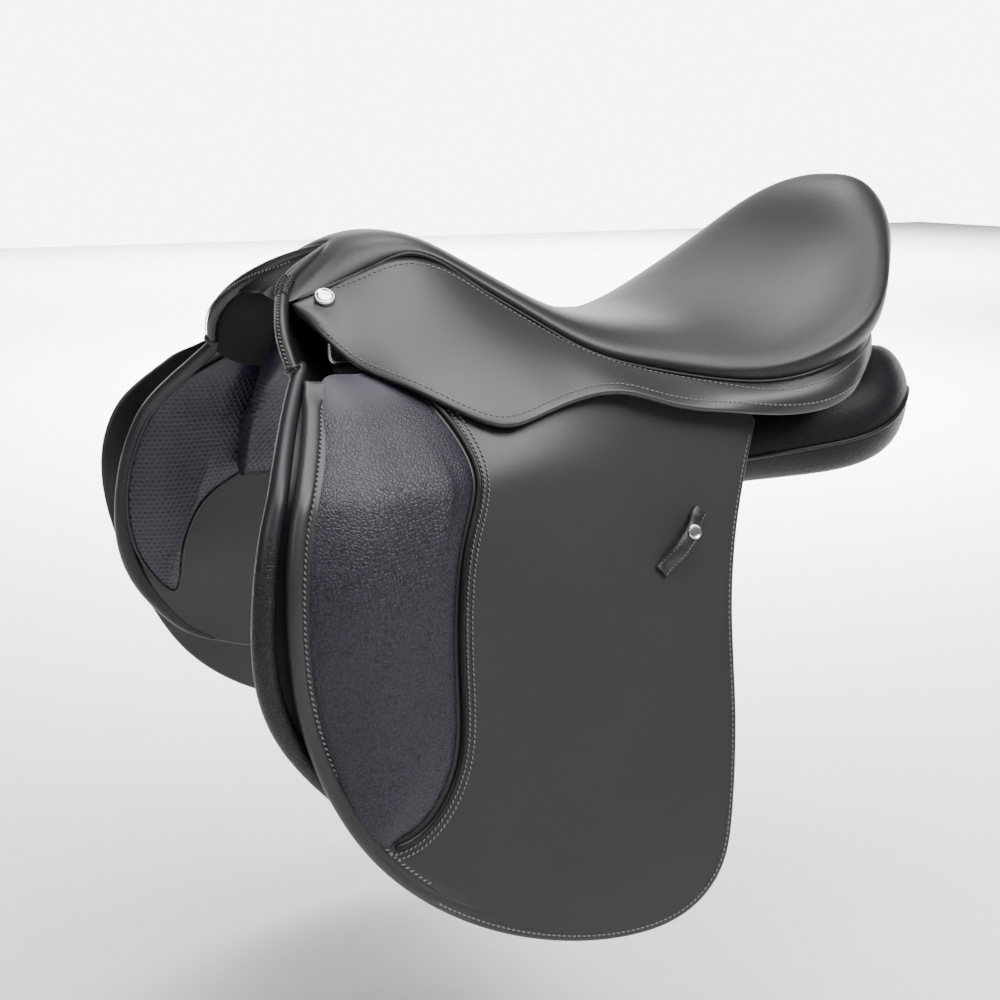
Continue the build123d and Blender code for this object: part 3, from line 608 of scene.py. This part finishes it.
def seat_grid():
    """The near half of the cover, from the arch to the back of the cantle, and its rings' places."""
    rings = [seat_ring(*row) for row in SEAT_STATIONS]
    run = distances(rings[0])
    arch = curve(ARCH_HALF[:4], 200)[::-1]
    share = np.linspace(0, 1, len(arch))
    front = np.stack([np.interp(run / run[-1], share, arch[:, i]) for i in range(3)], 1)
    rings = np.array([front] + rings)
    t = ring_distances(rings)
    half = spline(t, rings, np.linspace(0, t[-1], SEAT_ROWS))
    # soft creases where the cover is pulled round the pommel
    x, y = half[..., 0], half[..., 1]
    pull = np.exp(-((y + 205) / 16) ** 2) * smooth((x - 12) / 20)
    half[..., 2] += 0.35 * pull * np.sin(x * 0.55 + y * 0.25)
    return half, t


def seat_base(half, unders):
    """Points across the cover's hidden underside, in a shallow arch."""
    base = []
    for ring, under in zip(half, unders):
        edge_x, _, edge_z = ring[0]
        by_x = ring[np.argsort(ring[:, 0])]
        for f in np.linspace(1, -1, BASE_POINTS + 2)[1:-1]:
            y, z = (np.interp(abs(edge_x * f), by_x[:, 0], by_x[:, i]) for i in (1, 2))
            height = under + (edge_z - under) * f * f
            base.append((edge_x * f, y + 1.5, min(height - 1.0, z - 3.0)))
    return np.array(base).reshape(len(half), BASE_POINTS, 3)


def seat():
    half, t = seat_grid()
    unders = np.interp(np.linspace(0, t[-1], SEAT_ROWS), t, [FRONT_UNDER] + [row[6] for row in SEAT_STATIONS])
    cover_points = np.concatenate([half, (half * (-1, 1, 1))[:, ::-1][:, 1:]], 1)
    loop = np.concatenate([cover_points, seat_base(half, unders)], 1)
    verts = np.concatenate([loop.reshape(-1, 3), [loop[0].mean(0), loop[-1].mean(0) + (0, 3, 6)]])
    faces = outward(capped_faces(*loop.shape[:2]), verts)
    cover = mesh("seat_blocked", verts, faces, SEAT_LEATHER, "saddle")
    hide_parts("seat_cover", "seat_foam")
    return half[:, 0]


def seat_welt(s, side):
    """Piping in the seam, carried down round the back of the cantle."""
    line = welt_run[2:] + (1.4, 0, -0.6)
    path = curve(np.concatenate([line[::6], [CANTLE_WELT]]), 260)
    welt = tube(f"welt_{side}", path, 1.7, PIPING, "saddle", s, sides=10)
    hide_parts(f"seat_welt_{side}")


# ------------------------ skirt
def skirt_grid(rows=240, cols=30):
    """The skirt's outer face, gently crowned from the welt to its lower edge."""
    stations = np.array(SKIRT_STATIONS, float)
    t = distances(stations[:, :3])
    s = spline(t, stations, np.linspace(0, t[-1], rows))
    top = np.stack([s[:, 1] + 0.6, s[:, 0], s[:, 2] - 1.2], 1)
    low = np.stack([s[:, 3], s[:, 0], s[:, 4]], 1)
    run = unit(np.gradient((top + low) / 2, axis=0))
    drop = unit(low - top)
    out = unit(np.cross(drop, run))
    if out[rows // 2, 0] < 0:
        out = -out
    f = np.linspace(0, 1, cols)[None, :, None]
    return top[:, None] * (1 - f) + low[:, None] * f + out[:, None] * (4 * f * (1 - f)) * SKIRT_CROWN


def grid_normals(sheet):
    du = np.gradient(sheet, axis=0)
    dv = np.gradient(sheet, axis=1)
    n = unit(np.cross(dv, du))
    if n[len(n) // 2, n.shape[1] // 2, 0] < 0:
        n = -n
    return n


def bend_at(pieces, front, rear, s):
    """Each piece's transform baked into its mesh; nothing bends, and front, rear and s are not used."""
    front, rear = np.array(front, float), np.array(rear, float)
    for piece in pieces:
        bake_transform(piece)


def skirt(s, side):
    sheet = skirt_grid()
    n = grid_normals(sheet)
    rows, cols = sheet.shape[:2]
    drop = unit(sheet[:, -1] - sheet[:, -2])
    thick = np.full(rows, LEATHER)
    thick[:8] *= np.sin(np.linspace(0.35, 1.5, 8))
    n[:10] = n[10]
    loops = [sheet[:, j] for j in range(cols)]
    r = (thick / 2)[:, None]
    for a in np.linspace(0, math.pi, 9)[1:-1]:
        loops.append(sheet[:, -1] - n[:, -1] * r * (1 - math.cos(a)) + drop * r * math.sin(a) * 0.8)
    for j in range(cols - 1, -1, -2):
        loops.append(sheet[:, j] - n[:, j] * thick[:, None])
    ring = np.stack(loops, 1)
    m = ring.shape[1]
    verts = ring.reshape(-1, 3)
    faces = grid_faces(rows, m, True)
    faces.append(tuple(range(m - 1, -1, -1)))
    faces.append(tuple((rows - 1) * m + j for j in range(m)))
    leather = mesh(f"skirt_leather_{side}", verts, outward(faces, verts), SMOOTH_LEATHER, None, s)
    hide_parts(f"skirt_{side}", f"skirt_lobe_{side}")
    width = np.linalg.norm(sheet[:, -1] - sheet[:, 0], axis=1)

    def inside(distance, from_low):
        f = np.clip(distance / np.maximum(width, 1), 0, 0.5)
        at = (1 - f if from_low else f) * (cols - 1)
        k = np.clip(at.astype(int), 0, cols - 2)
        w = (at - k)[:, None]
        i = np.arange(rows)
        return sheet[i, k] * (1 - w) + sheet[i, k + 1] * w, n[i, k]

    low, low_n = inside(4.6, True)
    high, high_n = inside(6.0, False)
    first = int(rows * 0.055)
    runs = [(low[4:], low_n[4:]), (high[first:], high_n[first:])]
    thread = stitches(f"skirt_stitches_{side}", runs, THREAD, None, s, pitch=3.5, size=0.5, gap=1.1)
    bend_at((leather, thread), SKIRT_FRONT, SKIRT_REAR, s)


STUD_PROFILE = [(1.0, 0.0), (1.0, 0.45), (0.97, 0.75), (0.9, 0.96), (0.84, 1.0), (0.78, 0.95),
                (0.72, 0.75), (0.4, 0.825), (0.18, 0.875), (0.03, 0.8875)]
STUD_SIDES = 48


def disc(name, centre, normal, radius, height, look, body, s):
    """A turned button: rolled rim, shallow dish and a small centre dome."""
    a = unit(np.cross(normal, (0, 0, 1.0)))
    b = np.cross(normal, a)
    turn = np.linspace(0, 2 * math.pi, STUD_SIDES, endpoint=False)
    verts = [centre + (a * math.cos(c) + b * math.sin(c)) * radius * r + normal * height * h
             for r, h in STUD_PROFILE for c in turn]
    faces = grid_faces(len(STUD_PROFILE), STUD_SIDES, True)
    faces.append(tuple(range(STUD_SIDES))[::-1])
    faces.append(tuple((len(STUD_PROFILE) - 1) * STUD_SIDES + j for j in range(STUD_SIDES)))
    return mesh(name, verts, outward(faces, verts), look, body, s)


def pommel_stud(s, side):
    normal = unit(np.array([0.66, -0.1, 0.75]))
    stud = disc(f"pommel_stud_{side}", STUD_FOOT + normal, normal, 6.5, 2.6, BRIGHT, "saddle", s)
    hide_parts(f"skirt_button_{side}")


# ------------------------ side sheets
FLAP_CENTRE, PAD_CENTRE, BLOCK_CENTRE = (-120, -90), (-212, -70), (-213, -60)
SWEAT_CENTRE, MESH_CENTRE = (-130, -80), (-222, -18)
OFF_OPEN, OFF_REACH = 62, 14


def flap_flare(s):
    """The off flap stands a little open at the front; the near one lies close."""
    if s > 0:
        return None
    return lambda y, z: (OFF_OPEN * smooth((-y - 130) / 130) * np.exp(-(((z + 5) / 105) ** 2))
                         * smooth((74 - z) / 30))


def reach_forward(outline):
    """The off flap also hangs a little further forward than the near one."""
    reach = OFF_REACH * smooth((-outline[:, 0] - 190) / 60) * np.exp(-(((outline[:, 1] + 50) / 85) ** 2))
    return outline - np.stack([reach, 0 * reach], 1)


def band_profile(d, y, z):
    """Bound edge along the front of the flap, and a plain turned edge behind."""
    front = smooth((-y - 150) / 60) * smooth((z + 245) / 30) * smooth((57 - z) / 9)
    bound = 3.0 * np.sqrt(np.clip(1 - ((d - 4.4) / 4.6) ** 2, 0, 1)) - 0.8 * np.exp(-((d - 9.5) / 0.7) ** 2)
    soft = 0.35 * np.sin(y * 0.031 + 1.1) * np.sin(z * 0.027) * smooth(d / 40)
    return front * bound + soft


def flap(s, side):
    outline = np.concatenate([curve(FLAP_FRONT, 420), FLAP_TOP])
    if s < 0:
        outline = reach_forward(outline)
    sheet = Patch(outline, FLAP_CENTRE, 0, LEATHER, band_profile, count=460, flare=flap_flare(s))
    leather = mesh(f"flap_leather_{side}", *sheet.build(), SMOOTH_LEATHER, None, s)
    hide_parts(f"flap_{side}")
    front = sheet.path(9.4, 0.35, lambda y, z: (y < -205) & (z < 50) & (z > -222))
    edge = sheet.path(3.4, 0.0, lambda y, z: (z < 14) & (y > -262) & ~((y < -205) & (z > -222)))
    threads = (stitches(f"flap_front_stitches_{side}", [front], THREAD, None, s, pitch=3.3, size=0.62,
                        gap=0.5, slant=0.75),
               stitches(f"flap_edge_stitches_{side}", [edge], THREAD, None, s, size=0.5))
    bend_at((leather, *threads), HINGE_FRONT, HINGE_REAR, s)


def pad_dome(d, y, z):
    """Dished along its middle, full near the front, tight at the piping."""
    full = 8.6 * (1 - np.exp(-(np.maximum(d - 1.0, 0) / 13) ** 1.1))
    hollow = 2.8 * np.exp(-((y + 196) / 16) ** 2) * np.exp(-((z + 60) / 70) ** 2)
    ripple = 0.3 * np.sin(z * 0.075) * np.sin(y * 0.09)
    return -1.2 * np.exp(-(d / 1.6)) + full - hollow + ripple * smooth(d / 14) - 0.3


def knee_pad(s, side):
    body, flare = f"flap_{side}", flap_flare(s)
    edge = curve(PAD_OUTLINE, 300, True)
    if s < 0:
        edge = reach_forward(edge)
    rim = Patch(edge, PAD_CENTRE, 0, 1.0, lambda d, y, z: 0 * d + 0.2, count=300, flare=flare)
    y, z = edge[:, :1], edge[:, 1:]
    room_for_piping = 0.4 + 3.9 * smooth((y + 232) / 14) * smooth((58 - z + (y + 200) * 0.4) / 9)
    pad = Patch(edge + rim.normal * room_for_piping, PAD_CENTRE, -0.6, 1.5, pad_dome, count=300,
                flare=flare)
    cushion = mesh(f"knee_cushion_{side}", *pad.build(), PEBBLED, body, s)
    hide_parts(f"knee_pad_{side}")
    points, _ = rim.path(2.3, 0.9, lambda y, z: (y > -226) & (z < 54))
    pipe = tube(f"knee_piping_cord_{side}", points, 1.9, PIPING, body, s, sides=10)
    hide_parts(f"knee_pad_piping_{side}")
    seams = [rim.path(-1.6, 0.3, lambda y, z: (y > -232) & (z < 50)),
             rim.path(-5.2, 0.2, lambda y, z: (y > -228) & (z < 46))]
    for k, run in enumerate(seams):
        row = stitches(f"knee_stitches_{k}_{side}", [run], THREAD, body, s, pitch=3.0, size=0.5,
                       gap=0.8, slant=0.3)


def knee_block(s, side):
    """Contour block between the flap and the sweat flap."""
    block = Patch(curve(BLOCK_OUTLINE, 160, True), BLOCK_CENTRE, BLOCK_INWARD, BLOCK_RISE - 0.4,
                  lambda d, y, z: 0.0 * d - 0.2 - 0.9 * np.exp(-d / 5), count=160, rings=14)
    wedge = mesh(f"knee_wedge_{side}", *block.build(), FOAM, "saddle", s)
    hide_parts(f"knee_block_{side}")


def sweat_flap(s, side):
    sheet = Patch(np.concatenate([curve(SWEAT_FRONT, 360), SWEAT_TOP]), SWEAT_CENTRE, SWEAT_INWARD,
                  SWEAT_LEATHER, lambda d, y, z: 0.25 * np.sin(y * 0.04) * np.sin(z * 0.035) * smooth(d / 30),
                  count=400)
    verts, faces = sheet.build()
    above = verts[:, 0] - side_x(verts[:, 1], verts[:, 2], SWEAT_INWARD)
    # the sweat flap's outer faces take the near-black lining: painted shade in the gap under the flap
    outer = np.array([np.mean(above[list(f)]) > -1.2 for f in faces])
    leather = mesh(f"sweat_leather_{side}", verts, faces, SMOOTH_LEATHER, "saddle", s,
                   face_slots=outer.astype(int), extra=(PAINTED_SHADE_LINING,))
    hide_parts(f"sweat_flap_{side}")
    run = sheet.path(3.2, 0.0, lambda y, z: (z < -110) & (y > -270))
    thread = stitches(f"sweat_stitches_{side}", [run], PIPING, "saddle", s)


def front_roll(s, side):
    """Padded roll down the sweat flap's front edge, thickest at its middle."""
    y, z, radius = curve(FRONT_ROLL, 150).T
    points = np.stack([side_x(y, z, SWEAT_INWARD + 1.5) + radius * 0.35, y, z], 1)
    soft = tube(f"front_roll_cushion_{side}", points, radius, ROLL_LEATHER, "saddle", s, sides=20)
    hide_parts(f"front_roll_{side}")


def shoulder_swell(d, y, z):
    ripple = 0.6 * np.sin(z * 0.06 + y * 0.03) * smooth(d / 20)
    return 10.5 * (1 - np.exp(-(np.maximum(d, 0) / 13) ** 1.2)) + ripple


def shoulder_panel(s, side):
    """Perforated pad on the horse's side of the sweat flap, with its piping."""
    pad = Patch(curve(MESH_OUTLINE, 260, True), MESH_CENTRE, SWEAT_INWARD + SWEAT_LEATHER + 0.2, 3.0,
                lambda d, y, z: 0 * d, inner=shoulder_swell, count=260, rings=24)
    cushion = mesh(f"shoulder_mesh_{side}", *pad.build(), MESH, "saddle", s)
    points, _ = pad.path(-0.6, -0.4, face=-1)
    trim = tube(f"shoulder_piping_{side}", points[:-1], 1.3, BINDING, "saddle", s, closed=True, sides=8)


# ------------------------ panels
PANEL_COLS, PANEL_ROWS = 48, 130
PANEL_SHARE = 0.99
MESH_UP_TO = -128


def panel(s, side):
    """Flocked panel under the tree, with mesh on its front and piping along its outer seam."""
    rings = []
    for y, horse_side, saddle_side in PANEL_STATIONS:
        loop = np.array(horse_side + saddle_side[::-1], float)
        eased = loop.mean(0) + (curve(loop, PANEL_COLS, True) - loop.mean(0)) * PANEL_SHARE
        rings.append(np.insert(eased, 1, y, axis=1))
    places = [row[0] for row in PANEL_STATIONS]
    grid = spline(places, rings, np.linspace(places[0], places[-1], PANEL_ROWS))
    ends = [grid[0].mean(0) - (0, 3, 0), grid[-1].mean(0) + (0, 2, 0)]
    verts = np.concatenate([grid.reshape(-1, 3), ends])
    faces = outward(capped_faces(*grid.shape[:2]), verts)
    front = np.array([np.mean(verts[list(f), 1]) < MESH_UP_TO for f in faces])
    cushion = mesh(f"panel_cushion_{side}", verts, faces, PANEL_LEATHER, "saddle", s,
                   face_slots=front.astype(int), extra=(MESH,))
    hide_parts(f"panel_{side}")
    seam = int(PANEL_COLS * 0.43)
    line = (grid + unit(grid - grid.mean(1, keepdims=True)) * 0.6)[6:-1, seam]
    pipe = tube(f"panel_piping_{side}", even(line, 160), 1.4, PIPING, "saddle", s, sides=8)


# ------------------------ arch
NEAR_SEAM_FACES, OFF_SEAM_FACES = (0.86, -0.45, 0.24), (-0.172, -0.45, -0.288)
COLLAR_RADIUS = 4.8
ROLL_POINTS = 240


def arch_roll():
    """Bound roll over the pommel arch; gives its line, radius and two directions across it."""
    line = even(both_sides(curve(ARCH_HALF, 90)), ROLL_POINTS)
    run = np.linspace(-1, 1, ROLL_POINTS)
    radius = 3.6 + 1.7 * smooth(np.abs(run) / 0.35) - 0.5 * smooth((np.abs(run) - 0.75) / 0.2)
    roll = tube("arch_roll", line, radius, BINDING, "saddle", sides=20, flat=0.8)
    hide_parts("pommel_binding")
    tangent = unit(np.gradient(line, axis=0))
    near = run[:, None] >= 0
    aim = np.where(near, NEAR_SEAM_FACES, OFF_SEAM_FACES)
    face = unit(aim - tangent * np.sum(aim * tangent, 1, keepdims=True))
    return line, radius, face, np.cross(tangent, face) * np.where(near, 1.0, -1.0)


def row_on_roll(roll, low, high, turn, which, lift=0.0):
    """A row on the near (1) or off (-1) half, between two shares of its length, turned round the roll."""
    line, radius, face, across = roll
    run = np.linspace(-1, 1, ROLL_POINTS)
    pick = (np.abs(run) > low) & (np.abs(run) < high) & (np.sign(run) == which)
    out = face * math.cos(turn) + across * math.sin(turn)
    reach = radius[:, None] * (1 - 0.2 * abs(math.sin(turn))) + lift
    return (line + out * reach)[pick], out[pick]


def arch_threads(roll):
    """Seams along the roll, and a crossed lashing where the seat's edge meets it."""
    seams = [row_on_roll(roll, 0.52, 0.97, turn, 1) for turn in (0.25, 0.8)]
    seams.append(row_on_roll(roll, 0.2, 0.97, 0.3, -1))
    thread = stitches("arch_stitches", seams, THREAD, "saddle", pitch=2.6, size=0.5, gap=0.5, slant=0.75)
    wound = [row_on_roll(roll, 0.4, 0.56, turn, 1, 0.2) for turn in (-0.7, -0.25, 0.2, 0.65)]
    crossed = [row_on_roll(roll, 0.4, 0.56, turn, 1, 0.5) for turn in (-0.5, 0.45)]
    verts, faces = stitch_set(wound, 2.3, 0.75, -1.6, 0.9)
    more_verts, more_faces = stitch_set(crossed, 2.9, 0.6, -1.4, -0.9)
    faces = faces + [tuple(i + len(verts) for i in f) for f in more_faces]
    lashing = mesh("roll_lashing", verts + more_verts, faces, BINDING, "saddle")


def arch_collars(roll):
    """A ring of binding near each end of the roll."""
    line, _, face, across = roll
    turn = np.linspace(0, 2 * math.pi, 40, endpoint=False)[:, None]
    for end, at in (("right", 4), ("left", ROLL_POINTS - 5)):
        hoop = line[at] + COLLAR_RADIUS * (face[at] * np.cos(turn) + 0.9 * across[at] * np.sin(turn))
        collar = tube(f"roll_collar_{end}", hoop, 1.1, BINDING, "saddle", closed=True, sides=10)


def arch_lining():
    """Facing and lining from the roll back through the arch."""
    front, lip, deep = (both_sides(curve(run, 40)) for run in (ARCH_HALF, LINING_LIP, LINING_BACK))
    rings = np.array([front, front * 0.5 + lip * 0.5 + (0, -3, -3), lip,
                      lip * 0.6 + deep * 0.4 - (0, 0, 3), deep])
    t = ring_distances(rings)
    sheet = spline(t, rings, np.linspace(0, t[-1], 40))
    rows, cols = sheet.shape[:2]
    back = sheet + (0, 1.2, 1.6)
    verts = np.concatenate([sheet.reshape(-1, 3), back.reshape(-1, 3)])
    faces = grid_faces(rows, cols, False)
    faces += [tuple(rows * cols + i for i in f[::-1]) for f in faces]
    # near-black, dull lining: painted shade under the arch
    lining = mesh("arch_lining", verts, faces, ARCH_LINING_PAINTED_SHADE, "saddle")
    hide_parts("gullet_lining")


# ------------------------ keeper
KEEPER_Y, KEEPER_Z = -10.0, -48.0
KEEPER_LINE = [(-25, 0.4), (-20, 0.8), (-15, 3.4), (-10, 6.4), (-4, 7.6), (4, 7.6), (10, 6.4), (15, 3.4),
               (20, 0.8), (24.5, 0.4)]
KEEPER_SECTION = [(-5, 0.35), (-4.7, 0.0), (0, 0.0), (4.7, 0.0), (5, 0.35), (5, 1.5), (4.5, 2.0),
                  (0, 2.15), (-4.5, 2.0), (-5, 1.5)]


def keeper_axes():
    """Its middle on the flap, and directions along it, across it and out."""
    y, z = KEEPER_Y, KEEPER_Z
    x = float(side_x(y, z))
    lean = float(side_x(y, z - 1)) - x
    normal = unit(np.array([1, 0, lean]))
    down = unit(np.array([lean, 0, -1.0]))
    along = unit(np.array([0, -1.0, 0]) * math.cos(math.pi / 4) + down * math.sin(math.pi / 4))
    return np.array([x, y, z]), along, np.cross(normal, along), normal


def keeper(s, side):
    """Slanted strap that stands off the flap in the middle, with two sewn edges and a stud."""
    origin, along, across, normal = keeper_axes()
    path = curve(KEEPER_LINE, 60)
    tangent = unit(np.gradient(path, axis=0))
    up = np.stack([-tangent[:, 1], tangent[:, 0]], 1)
    verts = []
    for p, u in zip(path, up):
        for w, h in KEEPER_SECTION:
            q = p + u * h
            verts.append(origin + along * q[0] + normal * q[1] + across * w)
    n = len(KEEPER_SECTION)
    faces = grid_faces(len(path), n, True)
    faces += [tuple(range(n))[::-1], tuple((len(path) - 1) * n + j for j in range(n))]
    strap = mesh(f"keeper_strap_{side}", verts, outward(faces, verts), STRAP, f"flap_{side}", s)
    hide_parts(f"leather_keeper_{side}")
    rows = []
    for w in (-3.7, 3.7):
        points = np.array([origin + along * p[0] + normal * (p[1] + 2.1) + across * w for p in path])
        ups = np.array([along * u[0] + normal * u[1] for u in up])
        rows.append((points, ups))
    thread = stitches(f"keeper_stitches_{side}", rows, THREAD, f"flap_{side}", s, pitch=2.6, size=0.3,
                      gap=0.8)
    stud = disc(f"keeper_stud_{side}", origin + along * -7 + normal * 9.6, normal, 4.9, 1.9, BRIGHT,
                f"flap_{side}", s)
    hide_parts(f"keeper_button_{side}")


# ------------------------ the saddle
welt_run = seat()
roll = arch_roll()
arch_threads(roll)
arch_collars(roll)
arch_lining()
for side, s in (("left", 1), ("right", -1)):
    for make in (seat_welt, skirt, flap, knee_pad, knee_block, sweat_flap, front_roll, shoulder_panel,
                 panel, keeper, pommel_stud):
        make(s, side)

# ------------------------ stage and light
FLOOR_Z, FLOOR_HALF = -0.42, 9
AWAY = (-0.887, 0.462, 0.0)
WALL_GLOW, ROOM_GLOW = 7.0, 0.14

floor_mesh = bpy.data.meshes.new("floor")
corners = [(x * FLOOR_HALF, y * FLOOR_HALF, FLOOR_Z) for x, y in ((-1, -1), (1, -1), (1, 1), (-1, 1))]
floor_mesh.from_pydata(corners, [], [(0, 1, 2, 3)])
floor = bpy.data.objects.new("floor", floor_mesh)
bpy.context.scene.collection.objects.link(floor)
pale = bpy.data.materials.new("pale_floor")
pale.use_nodes = True
pale.node_tree.nodes["Principled BSDF"].inputs["Base Color"].default_value = (0.95, 0.95, 0.95, 1)
pale.node_tree.nodes["Principled BSDF"].inputs["Roughness"].default_value = 0.9
floor_mesh.materials.append(pale)

world = bpy.data.worlds.new("studio")
world.use_nodes = True
sky = world.node_tree
ray = node(sky, "TexCoord").outputs["Generated"]
away = node(sky, "VectorMath", ((0, ray), (1, AWAY)), operation="DOT_PRODUCT")
height = node(sky, "SeparateXYZ", (("Vector", ray),)).outputs["Z"]
# a bright wall behind the saddle, up to a low height
ahead = ramp(sky, away.outputs["Value"], 0.7, 0.9)
wall = calc(sky, "MULTIPLY", ahead, ramp(sky, height, 0.16, 0.34, 1.0, 0.0))
level = calc(sky, "ADD", calc(sky, "MULTIPLY", wall, WALL_GLOW), ROOM_GLOW)
sky.links.new(level, sky.nodes["Background"].inputs["Strength"])
sky.nodes["Background"].inputs["Color"].default_value = (1, 1, 1, 1)
bpy.context.scene.world = world


def area_light(name, where, aim, size, power, spread=180.0):
    data = bpy.data.lights.new(name, "AREA")
    data.shape = "RECTANGLE"
    data.size, data.size_y = size
    data.energy = power
    data.spread = math.radians(spread)
    light = bpy.data.objects.new(name, data)
    bpy.context.scene.collection.objects.link(light)
    light.location = where
    light.rotation_euler = (Vector(aim) - Vector(where)).to_track_quat("-Z", "Y").to_euler()


area_light("softbox_right", (1.2, 0.65, 1.3), (0.1, -0.05, 0.05), (0.9, 0.8), 36)
area_light("softbox_top", (0.35, -0.1, 1.7), (0, 0.05, 0.05), (1.3, 1.5), 46)
area_light("front_fill", (0.8, -1.5, 1.0), (0, -0.1, 0.05), (0.9, 0.6), 8)
area_light("floor_wash", (-2.3, 1.35, 1.7), (-2.3, 1.35, FLOOR_Z), (2.6, 2.6), 320, spread=95)
area_light("floor_far", (-6.0, 3.2, 2.6), (-6.0, 3.2, FLOOR_Z), (5.0, 7.0), 1300, spread=120)
